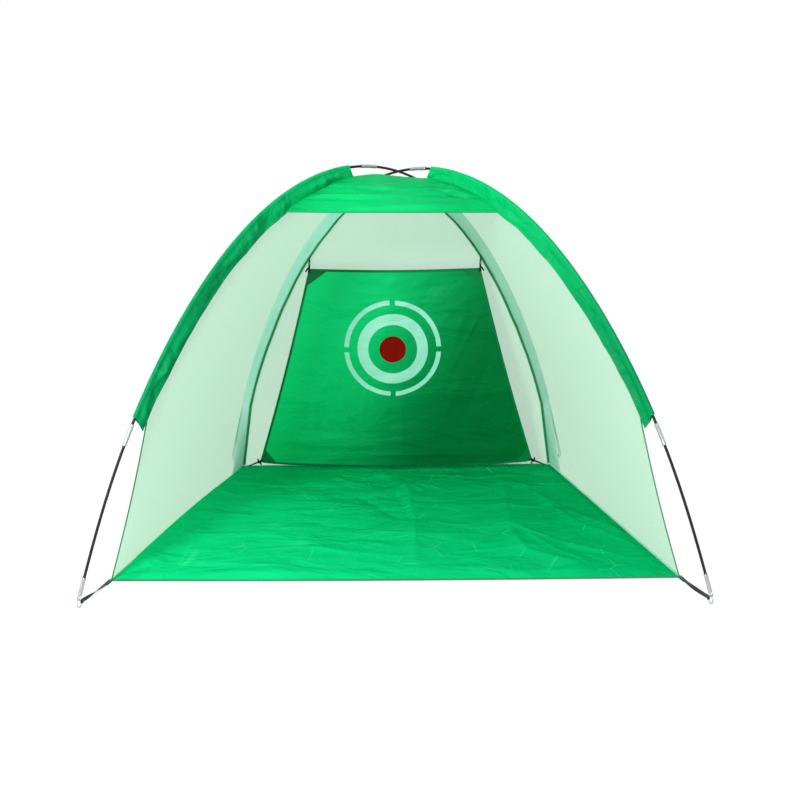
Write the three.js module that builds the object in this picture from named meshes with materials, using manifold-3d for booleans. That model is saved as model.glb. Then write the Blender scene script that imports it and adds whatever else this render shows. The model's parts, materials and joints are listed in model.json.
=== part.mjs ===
// A golf chipping net of the tent kind: two sprung poles cross overhead, a netting body hangs inside them,
// a target cloth is hooked into the back, and ring-and-pin straps hold the four pole feet to the floor sheet.
// Millimetres, +Z up. The origin is on the ground at the centre of the footprint, and the net opens to -Y.
import * as THREE from 'three';
import Module from 'manifold-3d';
import { mergeVertices } from 'three/addons/utils/BufferGeometryUtils.js';

const wasm = await Module();
wasm.setup();

// ---- driving dimensions ---------------------------------------------------------------------------------

const GROUND_GAP = 0.3;
const TOUCH_GAP = 0.3;

// plan: the floor sheet is a trapezoid, and every pole foot stands out past its corner
const FLOOR_FRONT_WIDTH = 2000;
const FLOOR_BACK_WIDTH = 1550;
const FLOOR_DEPTH = 1340;
const FLOOR_THICKNESS = 1.5;
const FRONT_FOOT_OUT = new THREE.Vector2(41, 208);
const REAR_FOOT_OUT = new THREE.Vector2(75, 120);
const FEET_DEPTH = FLOOR_DEPTH + FRONT_FOOT_OUT.y + REAR_FOOT_OUT.y;
const FRONT_FOOT = new THREE.Vector2(FLOOR_FRONT_WIDTH / 2 + FRONT_FOOT_OUT.x, -FEET_DEPTH / 2);
const REAR_FOOT = new THREE.Vector2(FLOOR_BACK_WIDTH / 2 + REAR_FOOT_OUT.x, FEET_DEPTH / 2);
const FLOOR_FRONT_Y = FRONT_FOOT.y + FRONT_FOOT_OUT.y;
const FLOOR_BACK_Y = REAR_FOOT.y - REAR_FOOT_OUT.y;

// sprung poles: the heading along the arc is a sum of odd cosines, as on a bent strip pinned at both ends
const NET_HEIGHT = 1420;
const ARC_HEADING = [1.279, -0.09, 0.044];
const ARC_SAMPLES = 600;
const POLE_RUN = 125;
const ROD_DIAMETER = 9.5;
const ROD_BORE = 5;
const ROD_SIDES = 8;
const SECTION_PITCH = 715;
const SECTIONS_PER_SIDE = 3;
const FERRULE_LENGTH = 75;
const FERRULE_WALL = 1.2;
const SHOCK_CORD_DIAMETER = 3;
const ROD_RADIUS = ROD_DIAMETER / 2;
const FLAT = Math.cos(Math.PI / ROD_SIDES);
const FERRULE_BORE = (ROD_RADIUS + TOUCH_GAP) / FLAT;
const FERRULE_RADIUS = FERRULE_BORE + FERRULE_WALL;

// pole feet
const BEND_PLAY = 0.2;
const FITTING_BORE = FERRULE_BORE + BEND_PLAY;
const FITTING_LENGTH = 62;
const FITTING_SEAT = 30;
const FITTING_WALL = 1.2;
const FITTING_CHAMFER = 1.5;
const PIN_DIAMETER = 4;
const PIN_REACH = 26;
const PIN_EYE_RADIUS = 6.2;
const PIN_BORE = PIN_DIAMETER / 2 + TOUCH_GAP + BEND_PLAY;
const RING_PLAY = 0.7;
const RING_LEAST_PLAY = 0.5;
const RING_WIRE = 3.5;
const RING_RADIUS = 14;
const STRAP_WIDTH = 14;
const STRAP_THICKNESS = 1.6;
const STRAP_LOOP_HALF_GAP = RING_WIRE / 2 + 2.75;
const STRAP_LOOP_NOSE = 5;
const TAB_LENGTH = 36;
const TAB_WIDTH = 20;
const TAB_BURY = 14;

// sleeves: reaches run inwards from the pole, and low ends are lengths along it from its foot
const SLEEVE_POCKET = FERRULE_RADIUS + 0.6;
const SLEEVE_WALL = 1.4;
const SLEEVE_FLAP = 2.4;
const FRONT_SLEEVE_REACH = 50;
const REAR_SLEEVE_REACH = 42;
const SLEEVE_THROAT = 10;
const FRONT_SLEEVE_LOW = 650;
const REAR_SLEEVE_LOW = 352;
const SLEEVE_TO_CROSSING = 190;

// cloth
const NETTING_THICKNESS = 1.2;
const CLOTH_THICKNESS = 1.4;
const SEAM_GAP = NETTING_THICKNESS / 2 + 0.4;
const EDGE_INSET = 3;
const CROSSING_INSET = 40;
const VALANCE_LOW = 1575;
const VALANCE_RIPPLE = 5;
const FLAP_FOOT_WIDTH = 150;
const FLAP_END_GAP = 0.006;
const FLAP_OFFSET = (NETTING_THICKNESS + CLOTH_THICKNESS) / 2 + 0.9;

// target cloth and its ties: its corners are placed from the rear seam and from the floor's back corner
const UPPER_TIE_HEIGHT = 1062;
const TARGET_TOP_FROM_SEAM = new THREE.Vector3(-4, -28, -56);
const TARGET_BOTTOM_FROM_FLOOR = new THREE.Vector3(-115, -134, 66);
const LOWER_TIE_INSET = new THREE.Vector2(22, 26);
const TARGET_HANG_IN = 8;
const TARGET_BELLY = 14;
const TARGET_FOLD = 4;
const EYELET_DIAMETER = 8;
const EYELET_INSET = 11;
const HOOK_WIRE = 3.6;
const HOOK_RADIUS = 6;
const HOOK_SHANK = 14;
const HOOK_EYE_RADIUS = 4.8;
const TIE_DIAMETER = 2.6;
const TIE_SPREAD = 5;
const TIE_PITCH = TIE_DIAMETER + 0.4;
const TIE_SEAT = 5;
const TIE_CLEARANCE = 0.2;

// ---- materials ------------------------------------------------------------------------------------------

function finish(color, roughness, metalness = 0) {
  return new THREE.MeshStandardMaterial({ color, roughness, metalness });
}

const FIBREGLASS = () => finish('#1b1d1e', 0.45);
const PLATED_STEEL = () => finish('#c9ccce', 0.3, 1);
const ELASTIC = () => finish('#2a2c2d', 0.9);
const WEBBING = () => finish('#17191a', 0.85);
const GREEN_OXFORD = () => finish('#03aa5f', 0.75);
const BRIGHT_OXFORD = () => finish('#10d486', 0.72);
const TARGET_OXFORD = () => finish('#0a9656', 0.8);
const NETTING = () => finish('#c2eacf', 0.9);
const BLACK_WIRE = () => finish('#151617', 0.5);

// ---- general helpers ------------------------------------------------------------------------------------

const UP = new THREE.Vector3(0, 0, 1);
const AHEAD = new THREE.Vector3(1, 0, 0);
const net = new THREE.Group();

function add(name, geometry, material) {
  const mesh = new THREE.Mesh(geometry, material);
  mesh.name = name;
  net.add(mesh);
}

// A route of fixed stations, each with its own direction and its own first cross-section axis.
class Route extends THREE.Curve {
  constructor(points, tangents, normals) {
    super();
    this.points = points;
    this.tangents = tangents;
    this.normals = normals;
  }

  getSpacedPoints() {
    return this.points;
  }

  computeFrenetFrames() {
    const binormals = this.tangents.map((tangent, i) => tangent.clone().cross(this.normals[i]));
    return { tangents: this.tangents, normals: this.normals, binormals };
  }

  // A route through free points: directions halve the bends, and the section turns as little as it can.
  static through(points, firstNormal) {
    const last = points.length - 1;
    const tangents = points.map((_, i) => points[Math.min(i + 1, last)].clone()
      .sub(points[Math.max(i - 1, 0)]).normalize());
    const normals = [];
    let normal = firstNormal.clone();
    for (const tangent of tangents) {
      normal = normal.clone().addScaledVector(tangent, -normal.dot(tangent)).normalize();
      normals.push(normal);
    }
    return new Route(points, tangents, normals);
  }
}

function sweep(shape, route) {
  const steps = route.points.length - 1;
  return new THREE.ExtrudeGeometry(shape, { steps, extrudePath: route, bevelEnabled: false });
}

function polygon(radius, sides) {
  const corners = [];
  for (let i = 0; i < sides; i += 1) {
    const turn = (2 * Math.PI * (i + 0.5)) / sides;
    corners.push(new THREE.Vector2(radius * Math.cos(turn), radius * Math.sin(turn)));
  }
  return corners;
}

const disc = (radius, sides) => new THREE.Shape(polygon(radius, sides));

function annulus(outer, inner, sides) {
  const shape = disc(outer, sides);
  shape.holes.push(new THREE.Path(polygon(inner, sides)));
  return shape;
}

function solid(geometry) {
  const bare = geometry.clone();
  bare.deleteAttribute('normal');
  bare.deleteAttribute('uv');
  const merged = mergeVertices(bare, 1e-4);
  const vertProperties = new Float32Array(merged.attributes.position.array);
  const triVerts = new Uint32Array(merged.index.array);
  return new wasm.Manifold(new wasm.Mesh({ numProp: 3, vertProperties, triVerts }));
}

function surfaceOf(manifold) {
  const mesh = manifold.getMesh();
  const geometry = new THREE.BufferGeometry();
  geometry.setAttribute('position', new THREE.BufferAttribute(mesh.vertProperties, 3));
  geometry.setIndex(new THREE.BufferAttribute(mesh.triVerts, 1));
  return geometry;
}

const union = (first, second) => surfaceOf(solid(first).add(solid(second)));
const cut = (body, tool) => surfaceOf(solid(body).subtract(solid(tool)));

// Places a geometry whose own axes are x, y and z along three given directions.
function placed(geometry, origin, x, y, z) {
  return geometry.applyMatrix4(new THREE.Matrix4().makeBasis(x, y, z).setPosition(origin));
}

// A cloth panel: a thin block whose columns (u) and rows (v) follow a surface, half its thickness each way.
// Both of its faces are split along the same diagonals, so the thickness stays even where the cloth twists.
function cloth(columns, rows, thickness, surface) {
  const geometry = new THREE.BoxGeometry(1, 1, 1, columns, rows, 1);
  const { position } = geometry.attributes;
  const { index } = geometry;
  const backFace = geometry.groups[5];
  for (let i = backFace.start; i < backFace.start + backFace.count; i += 6) {
    index.setX(i + 2, index.getX(i + 4));
    index.setX(i + 3, index.getX(i));
  }
  const near = 1e-3;
  for (let i = 0; i < position.count; i += 1) {
    const u = position.getX(i) + 0.5;
    const v = position.getY(i) + 0.5;
    const alongU = surface(Math.min(u + near, 1), v).sub(surface(Math.max(u - near, 0), v));
    const alongV = surface(u, Math.min(v + near, 1)).sub(surface(u, Math.max(v - near, 0)));
    const normal = alongU.cross(alongV).normalize();
    const point = surface(u, v).addScaledVector(normal, position.getZ(i) * thickness);
    position.setXYZ(i, point.x, point.y, point.z);
  }
  return geometry;
}

const between = (from, to, share) => from.clone().lerp(to, share);

// ---- the sprung poles -----------------------------------------------------------------------------------

// One pole's centre line, in the upright plane through its two feet, as stations that all its pieces share.
class Pole {
  constructor(side, height) {
    this.side = side;
    this.foot = new THREE.Vector2(-FRONT_FOOT.x * side, FRONT_FOOT.y);
    const far = new THREE.Vector2(REAR_FOOT.x * side, REAR_FOOT.y);
    const span = far.distanceTo(this.foot);
    this.plan = far.clone().sub(this.foot).normalize();
    this.trace(span, height);
    this.stations = this.allStations();
  }

  trace(span, height) {
    const across = [0];
    const up = [0];
    for (let i = 0; i < ARC_SAMPLES; i += 1) {
      const share = (i + 0.5) / ARC_SAMPLES;
      let heading = 0;
      ARC_HEADING.forEach((size, k) => {
        heading += size * Math.cos((2 * k + 1) * Math.PI * share);
      });
      across.push(across[i] + Math.cos(heading));
      up.push(up[i] + Math.sin(heading));
    }
    const width = across[ARC_SAMPLES];
    const top = up[ARC_SAMPLES / 2];
    this.across = across.map((value) => (value * span) / width);
    this.up = up.map((value) => (value * height) / top);
    this.lengths = [0];
    for (let i = 1; i <= ARC_SAMPLES; i += 1) {
      const step = Math.hypot(this.across[i] - this.across[i - 1], this.up[i] - this.up[i - 1]);
      this.lengths.push(this.lengths[i - 1] + step);
    }
    this.length = this.lengths[ARC_SAMPLES];
  }

  // The true arc at a length from the front foot: distance across, height and heading.
  arc(length) {
    const found = this.lengths.findIndex((value) => value >= length);
    const i = found < 0 ? ARC_SAMPLES : Math.max(found, 1);
    const share = (length - this.lengths[i - 1]) / (this.lengths[i] - this.lengths[i - 1]);
    const across = THREE.MathUtils.lerp(this.across[i - 1], this.across[i], share);
    const up = THREE.MathUtils.lerp(this.up[i - 1], this.up[i], share);
    const low = Math.max(i - 2, 0);
    const high = Math.min(i + 1, ARC_SAMPLES);
    const heading = Math.atan2(this.up[high] - this.up[low], this.across[high] - this.across[low]);
    return { across, up, heading };
  }

  crossingLength() {
    const target = (this.across[ARC_SAMPLES] * FRONT_FOOT.x) / (FRONT_FOOT.x + REAR_FOOT.x);
    const i = this.across.findIndex((value) => value >= target);
    const share = (target - this.across[i - 1]) / (this.across[i] - this.across[i - 1]);
    return THREE.MathUtils.lerp(this.lengths[i - 1], this.lengths[i], share);
  }

  // Where two rods meet inside a ferrule, from the front foot to the rear.
  jointLengths() {
    const reach = SECTIONS_PER_SIDE - 1;
    const joints = [];
    for (let k = -reach; k <= reach; k += 1) joints.push(this.length / 2 + k * SECTION_PITCH);
    return joints;
  }

  rodLimits() {
    const inner = POLE_END + FITTING_LENGTH - FITTING_SEAT;
    return [inner, ...this.jointLengths(), this.length - inner];
  }

  allStations() {
    const limits = this.rodLimits();
    const stations = [limits[0]];
    for (let k = 1; k < limits.length; k += 1) {
      const from = limits[k - 1] + (k > 1 ? FERRULE_LENGTH / 2 : 0);
      const to = limits[k] - (k < limits.length - 1 ? FERRULE_LENGTH / 2 : 0);
      const runs = Math.max(Math.round((to - from) / POLE_RUN), 1);
      for (let j = 0; j <= runs; j += 1) stations.push(THREE.MathUtils.lerp(from, to, j / runs));
      stations.push(limits[k]);
    }
    return [...new Set(stations)];
  }

  vector(across, up) {
    return new THREE.Vector3(this.plan.x * across, this.plan.y * across, up);
  }

  // The point at a length on the faceted centre line, with its direction and its inward (downward) normal.
  at(length) {
    const { stations } = this;
    const last = stations.length - 1;
    const next = stations.findIndex((value) => value >= length);
    const i = THREE.MathUtils.clamp(next < 0 ? last : next, 1, last);
    const low = this.arc(stations[i - 1]);
    const high = this.arc(stations[i]);
    const share = (length - stations[i - 1]) / (stations[i] - stations[i - 1]);
    const across = THREE.MathUtils.lerp(low.across, high.across, share);
    const up = THREE.MathUtils.lerp(low.up, high.up, share);
    const { heading } = this.arc(length);
    const point = this.vector(across, up);
    point.x += this.foot.x;
    point.y += this.foot.y;
    const tangent = this.vector(Math.cos(heading), Math.sin(heading));
    const inward = this.vector(Math.sin(heading), -Math.cos(heading));
    return { point, tangent, inward };
  }

  inside(length, reach) {
    const { point, inward } = this.at(length);
    return point.addScaledVector(inward, reach);
  }

  route(from, to) {
    const inner = this.stations.filter((value) => value > from + 0.5 && value < to - 0.5);
    const frames = [from, ...inner, to].map((value) => this.at(value));
    return new Route(
      frames.map((frame) => frame.point),
      frames.map((frame) => frame.tangent),
      frames.map((frame) => frame.inward),
    );
  }
}

// How far up the arc a pole stops. The ring stands on the ground, and the eye of the pin hooks into it.
const RING_CENTRE_Z = GROUND_GAP + RING_WIRE / 2 + RING_RADIUS;
const EYE_HOLE = PIN_EYE_RADIUS - PIN_DIAMETER / 2;
const EYE_Z = RING_CENTRE_Z + RING_RADIUS + EYE_HOLE - RING_WIRE / 2 - RING_PLAY;
const FOOT_HEADING = ARC_HEADING.reduce((sum, size) => sum + size, 0);
const EYE_LENGTH = EYE_Z / Math.sin(FOOT_HEADING);
const RING_HANG = RING_RADIUS + EYE_HOLE - RING_WIRE / 2 - RING_LEAST_PLAY;
const POLE_END = EYE_LENGTH + PIN_EYE_RADIUS + PIN_DIAMETER / 2;

// The poles pass one over the other where they cross, further apart if a ferrule lies there.
function polePair(crossingRadius) {
  const lift = crossingRadius + TOUCH_GAP / 2;
  return { left: new Pole(1, NET_HEIGHT + lift), right: new Pole(-1, NET_HEIGHT - lift) };
}

function ferruleAtCrossing(pair) {
  const reach = FERRULE_LENGTH / 2 + 2 * FERRULE_RADIUS;
  return Object.values(pair).some((pole) => {
    const crossing = pole.crossingLength();
    return pole.jointLengths().some((joint) => Math.abs(joint - crossing) < reach);
  });
}

const rodPair = polePair(ROD_RADIUS);
const poles = ferruleAtCrossing(rodPair) ? polePair(FERRULE_RADIUS) : rodPair;

function addPole(name, pole) {
  const limits = pole.rodLimits();
  const rod = annulus(ROD_RADIUS, ROD_BORE / 2, ROD_SIDES);
  const ferrule = annulus(FERRULE_RADIUS, FERRULE_BORE, ROD_SIDES);
  for (let k = 1; k < limits.length; k += 1) {
    const route = pole.route(limits[k - 1] + TOUCH_GAP / 2, limits[k] - TOUCH_GAP / 2);
    add(`${name}_rod_${k}`, sweep(rod, route), FIBREGLASS());
  }
  pole.jointLengths().forEach((joint, k) => {
    const route = pole.route(joint - FERRULE_LENGTH / 2, joint + FERRULE_LENGTH / 2);
    add(`${name}_ferrule_${k + 1}`, sweep(ferrule, route), PLATED_STEEL());
  });
  const cord = pole.route(limits[0] + TOUCH_GAP, limits[limits.length - 1] - TOUCH_GAP);
  add(`${name}_shock_cord`, sweep(disc(SHOCK_CORD_DIAMETER / 2, ROD_SIDES), cord), ELASTIC());
}

addPole('left_pole', poles.left);
addPole('right_pole', poles.right);

// ---- pole feet: end fitting, pin, ring and strap --------------------------------------------------------

const CORNERS = [
  { name: 'front_left', pole: poles.left, end: 'front', side: -1 },
  { name: 'front_right', pole: poles.right, end: 'front', side: 1 },
  { name: 'rear_left', pole: poles.right, end: 'rear', side: -1 },
  { name: 'rear_right', pole: poles.left, end: 'rear', side: 1 },
];

// A turned metal cap over the rod's end, with a narrower bore below for the pin.
function endFitting() {
  const outer = FITTING_BORE + FITTING_WALL;
  const shoulder = FITTING_LENGTH - FITTING_SEAT - TOUCH_GAP;
  const profile = [
    new THREE.Vector2(PIN_BORE, 0),
    new THREE.Vector2(outer - FITTING_CHAMFER, 0),
    new THREE.Vector2(outer, FITTING_CHAMFER),
    new THREE.Vector2(outer, FITTING_LENGTH),
    new THREE.Vector2(FITTING_BORE, FITTING_LENGTH),
    new THREE.Vector2(FITTING_BORE, shoulder),
    new THREE.Vector2(PIN_BORE, shoulder),
    new THREE.Vector2(PIN_BORE, 0),
  ];
  return new THREE.LatheGeometry(profile, 12);
}

// A straight shank whose lower end is bent into an open eye, as a route in the plane of x (side) and y (up).
function pinRoute() {
  const points = [new THREE.Vector3(0, PIN_EYE_RADIUS + PIN_REACH, 0)];
  const eyeTurn = 1.62 * Math.PI;
  const eyeSteps = 14;
  for (let i = 0; i <= eyeSteps; i += 1) {
    const turn = Math.PI / 2 - (eyeTurn * i) / eyeSteps;
    points.push(new THREE.Vector3(PIN_EYE_RADIUS * Math.cos(turn), PIN_EYE_RADIUS * Math.sin(turn), 0));
  }
  return Route.through(points, new THREE.Vector3(0, 0, 1));
}

// A webbing strap: a loop round the ring's wire and a ribbon that turns flat onto the floor sheet's tab.
function strap(loopCentre, tabEnd, along) {
  const sideways = UP.clone().cross(along).normalize();
  const ringDrop = RING_RADIUS - Math.sqrt(RING_RADIUS ** 2 - (STRAP_WIDTH / 2) ** 2);
  const back = -(RING_WIRE / 2 + ringDrop + TOUCH_GAP);
  const front = RING_WIRE / 2 + STRAP_LOOP_NOSE;
  const shoulder = 1.8;
  const taper = 3;
  const nose = 0.4;
  const outline = (grow) => {
    const half = STRAP_LOOP_HALF_GAP + grow;
    const upper = [
      new THREE.Vector2(front + grow, nose + grow / 2),
      new THREE.Vector2(front - taper, half * 0.8),
      new THREE.Vector2(back + shoulder, half),
      new THREE.Vector2(back - grow, half * 0.55),
    ];
    const lower = upper.map((point) => new THREE.Vector2(point.x, -point.y)).reverse();
    return [...lower, ...upper];
  };
  const shape = new THREE.Shape(outline(STRAP_THICKNESS));
  shape.holes.push(new THREE.Path(outline(0)));
  const loop = new THREE.ExtrudeGeometry(shape, { depth: STRAP_WIDTH, bevelEnabled: false });
  loop.translate(0, 0, -STRAP_WIDTH / 2);
  placed(loop, loopCentre, along, sideways, UP);

  const overlap = 4;
  const start = loopCentre.clone().addScaledVector(along, front + STRAP_THICKNESS * 0.6);
  const landing = tabEnd.clone().addScaledVector(along, overlap - TAB_LENGTH);
  const steps = 8;
  const straightShare = 0.1;
  const points = [];
  const tangents = [];
  const normals = [];
  for (let i = 0; i <= steps; i += 1) {
    const share = i / steps;
    const turn = THREE.MathUtils.smoothstep(share, straightShare, 1) * (Math.PI / 2);
    points.push(between(start, landing, share));
    tangents.push(along.clone());
    normals.push(sideways.clone().multiplyScalar(Math.cos(turn)).addScaledVector(UP, Math.sin(turn)));
  }
  points.push(tabEnd.clone());
  tangents.push(along.clone());
  normals.push(UP.clone());
  const half = STRAP_THICKNESS / 2;
  const section = new THREE.Shape([
    new THREE.Vector2(-half, -STRAP_WIDTH / 2),
    new THREE.Vector2(half, -STRAP_WIDTH / 2),
    new THREE.Vector2(half, STRAP_WIDTH / 2),
    new THREE.Vector2(-half, STRAP_WIDTH / 2),
  ]);
  return union(loop, sweep(section, new Route(points, tangents, normals)));
}

// What one corner's pieces share: the pole's end, the eye, the ring and the line out to the floor corner.
function cornerLayout({ pole, end, side }) {
  const fromEnd = (length) => (end === 'front' ? length : pole.length - length);
  const base = pole.at(fromEnd(POLE_END));
  const inPole = end === 'front' ? base.tangent : base.tangent.clone().negate();
  const eye = base.point.clone().addScaledVector(inPole, EYE_LENGTH - POLE_END);
  const floorX = (end === 'front' ? FLOOR_FRONT_WIDTH : FLOOR_BACK_WIDTH) / 2;
  const corner = new THREE.Vector3(floorX * side, end === 'front' ? FLOOR_FRONT_Y : FLOOR_BACK_Y, 0);
  const along = corner.clone().sub(eye).setZ(0).normalize();
  const ringCentre = new THREE.Vector3(eye.x, eye.y, Math.max(RING_CENTRE_Z, eye.z - RING_HANG));
  return { poleEnd: base.point, inPole, eye, corner, along, ringCentre };
}

function addCorner(spec) {
  const { poleEnd, inPole, eye, corner, along, ringCentre } = cornerLayout(spec);
  const across = inPole.clone().cross(along).normalize();
  const eyeAxis = across.clone().cross(inPole).normalize();
  add(`${spec.name}_end_fitting`, placed(endFitting(), poleEnd, across, inPole, eyeAxis), PLATED_STEEL());

  const shank = placed(sweep(disc(PIN_DIAMETER / 2, 8), pinRoute()), eye, across, inPole, eyeAxis);
  add(`${spec.name}_pin`, shank, PLATED_STEEL());

  const wire = polygon(RING_WIRE / 2, 6).map((point) => point.add(new THREE.Vector2(RING_RADIUS, 0)));
  const ring = new THREE.LatheGeometry([...wire, wire[0].clone()], 24);
  const sideways = UP.clone().cross(along).normalize();
  add(`${spec.name}_ring`, placed(ring, ringCentre, along, sideways, UP), PLATED_STEEL());

  const loopCentre = ringCentre.clone().addScaledVector(along, RING_RADIUS);
  const tabEnd = corner.clone().setZ(FLOOR_THICKNESS + TOUCH_GAP + STRAP_THICKNESS / 2);
  const line = tabEnd.clone().sub(loopCentre).setZ(0).normalize();
  tabEnd.addScaledVector(line, -EDGE_INSET);
  add(`${spec.name}_strap`, strap(loopCentre, tabEnd, along), WEBBING());
}

CORNERS.forEach(addCorner);

// ---- floor sheet ----------------------------------------------------------------------------------------

function floorSheet() {
  const outline = new THREE.Shape([
    new THREE.Vector2(-FLOOR_FRONT_WIDTH / 2, FLOOR_FRONT_Y),
    new THREE.Vector2(FLOOR_FRONT_WIDTH / 2, FLOOR_FRONT_Y),
    new THREE.Vector2(FLOOR_BACK_WIDTH / 2, FLOOR_BACK_Y),
    new THREE.Vector2(-FLOOR_BACK_WIDTH / 2, FLOOR_BACK_Y),
  ]);
  let sheet = new THREE.ExtrudeGeometry(outline, { depth: FLOOR_THICKNESS, bevelEnabled: false });
  for (const spec of CORNERS) {
    const { corner, along } = cornerLayout(spec);
    const tab = new THREE.BoxGeometry(TAB_LENGTH + TAB_BURY, TAB_WIDTH, FLOOR_THICKNESS);
    tab.translate((TAB_BURY - TAB_LENGTH) / 2, 0, FLOOR_THICKNESS / 2);
    sheet = union(sheet, placed(tab, corner, along, UP.clone().cross(along), UP));
  }
  return sheet;
}

add('floor_sheet', floorSheet(), BRIGHT_OXFORD());

// ---- pole sleeves ---------------------------------------------------------------------------------------

// A pocket round the pole that narrows to a doubled flap on the inner side of the arc.
function sleeveSection(reach) {
  const pocket = SLEEVE_POCKET / FLAT;
  const skin = pocket + SLEEVE_WALL;
  const flap = SLEEVE_FLAP / 2;
  const throat = skin + SLEEVE_THROAT;
  const arc = [];
  const steps = 6;
  const openTurn = THREE.MathUtils.degToRad(50);
  const corner = skin / Math.cos((Math.PI - openTurn) / steps);
  for (let i = 0; i <= steps; i += 1) {
    const turn = THREE.MathUtils.lerp(openTurn, 2 * Math.PI - openTurn, i / steps);
    arc.push(new THREE.Vector2(corner * Math.cos(turn), corner * Math.sin(turn)));
  }
  const outline = [
    ...arc,
    new THREE.Vector2(throat, -flap),
    new THREE.Vector2(reach, -flap),
    new THREE.Vector2(reach, flap),
    new THREE.Vector2(throat, flap),
  ];
  const shape = new THREE.Shape(outline);
  shape.holes.push(new THREE.Path(polygon(pocket, ROD_SIDES)));
  return shape;
}

const SLEEVES = [
  { name: 'front_left_sleeve', pole: poles.left, end: 'front' },
  { name: 'front_right_sleeve', pole: poles.right, end: 'front' },
  { name: 'rear_left_sleeve', pole: poles.right, end: 'rear' },
  { name: 'rear_right_sleeve', pole: poles.left, end: 'rear' },
];

for (const { name, pole, end } of SLEEVES) {
  const crossing = pole.crossingLength();
  const front = end === 'front';
  const from = front ? FRONT_SLEEVE_LOW : crossing + SLEEVE_TO_CROSSING;
  const to = front ? crossing - SLEEVE_TO_CROSSING : pole.length - REAR_SLEEVE_LOW;
  const section = sleeveSection(front ? FRONT_SLEEVE_REACH : REAR_SLEEVE_REACH);
  add(name, sweep(section, pole.route(from, to)), GREEN_OXFORD());
}

// ---- netting body and valance ---------------------------------------------------------------------------

const ROWS = 18;
const FRONT_STRAIGHT_ROWS = 5;
const REAR_STRAIGHT_ROWS = 3;
const FLOOR_TOP = FLOOR_THICKNESS + TOUCH_GAP;
const NETTING_FOOT = FLOOR_TOP + NETTING_THICKNESS / 6;
const FRONT_SEAM_REACH = FRONT_SLEEVE_REACH + SEAM_GAP;
const REAR_SEAM_REACH = REAR_SLEEVE_REACH + SEAM_GAP;

// The front edge of a side panel: straight from the floor to the sleeve's lower end, then inside the sleeve.
function frontSeam(pole, side, v) {
  const bend = FRONT_STRAIGHT_ROWS / ROWS;
  if (v < bend) {
    const edge = FLOOR_FRONT_WIDTH / 2 - EDGE_INSET;
    const low = new THREE.Vector3(side * edge, FLOOR_FRONT_Y + EDGE_INSET, NETTING_FOOT);
    return between(low, pole.inside(FRONT_SLEEVE_LOW, FRONT_SEAM_REACH), v / bend);
  }
  const top = pole.crossingLength() - CROSSING_INSET;
  const length = THREE.MathUtils.lerp(FRONT_SLEEVE_LOW, top, (v - bend) / (1 - bend));
  return pole.inside(length, FRONT_SEAM_REACH);
}

// The rear seam, where side panel, back panel and rear sleeve meet.
function rearSeam(pole, side, v) {
  const bend = REAR_STRAIGHT_ROWS / ROWS;
  const kneeLength = pole.length - REAR_SLEEVE_LOW;
  if (v < bend) {
    const edge = FLOOR_BACK_WIDTH / 2 - EDGE_INSET;
    const low = new THREE.Vector3(side * edge, FLOOR_BACK_Y - EDGE_INSET, NETTING_FOOT);
    return between(low, pole.inside(kneeLength, REAR_SEAM_REACH), v / bend);
  }
  const top = pole.crossingLength() + CROSSING_INSET;
  const length = THREE.MathUtils.lerp(kneeLength, top, (v - bend) / (1 - bend));
  return pole.inside(length, REAR_SEAM_REACH);
}

// A panel stretched straight between two seams, kept a stitch's width clear of both.
function stretched(from, to) {
  return (u, v) => {
    const start = from(v);
    const end = to(v);
    const inset = SEAM_GAP / start.distanceTo(end);
    return between(start, end, THREE.MathUtils.lerp(inset, 1 - inset, u));
  };
}

const leftFront = (v) => frontSeam(poles.left, -1, v);
const rightFront = (v) => frontSeam(poles.right, 1, v);
const leftRear = (v) => rearSeam(poles.right, -1, v);
const rightRear = (v) => rearSeam(poles.left, 1, v);

function addNetting(name, from, to) {
  const columns = 8;
  add(name, cloth(columns, ROWS, NETTING_THICKNESS, stretched(from, to)), NETTING());
}

addNetting('left_netting', leftFront, leftRear);
addNetting('right_netting', rightRear, rightFront);
addNetting('back_netting', rightRear, leftRear);

// The valance closes the top of the opening. Shallow ripples run across it between the two sleeves.
function valanceEdge(pole) {
  const top = pole.crossingLength() - CROSSING_INSET;
  return (v) => pole.inside(THREE.MathUtils.lerp(VALANCE_LOW, top, v), FRONT_SEAM_REACH);
}

function valanceSurface() {
  const flat = stretched(valanceEdge(poles.left), valanceEdge(poles.right));
  const ripples = 3;
  const slant = 0.35;
  const calmTop = 1.4;
  return (u, v) => {
    const point = flat(u, v);
    const swell = Math.sin(Math.PI * u) * Math.sin(Math.PI * Math.min(v * calmTop, 1));
    point.z += VALANCE_RIPPLE * swell * Math.sin(2 * Math.PI * (ripples * v + slant * u));
    return point;
  };
}

add('front_valance', cloth(12, 14, CLOTH_THICKNESS, valanceSurface()), GREEN_OXFORD());

// ---- rear corner flaps ----------------------------------------------------------------------------------

// Below each rear sleeve a flap of cloth carries on to the floor, just outside the side netting.
function flapSurface(pole, side) {
  const height = REAR_STRAIGHT_ROWS / ROWS;
  const seam = (v) => rearSeam(pole, side, v * height);
  const front = (v) => frontSeam(side < 0 ? poles.left : poles.right, side, v * height);
  const width = (v) => THREE.MathUtils.lerp(FLAP_FOOT_WIDTH, REAR_SLEEVE_REACH - SLEEVE_POCKET, v);
  return (u, v) => {
    const row = THREE.MathUtils.lerp(FLAP_END_GAP, 1 - FLAP_END_GAP, v);
    const start = seam(row);
    const toFront = front(row).sub(start).normalize();
    const outward = new THREE.Vector3(side, 0, 0).addScaledVector(toFront, -side * toFront.x).normalize();
    return start.addScaledVector(toFront, width(row) * u + SEAM_GAP).addScaledVector(outward, FLAP_OFFSET);
  };
}

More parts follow.
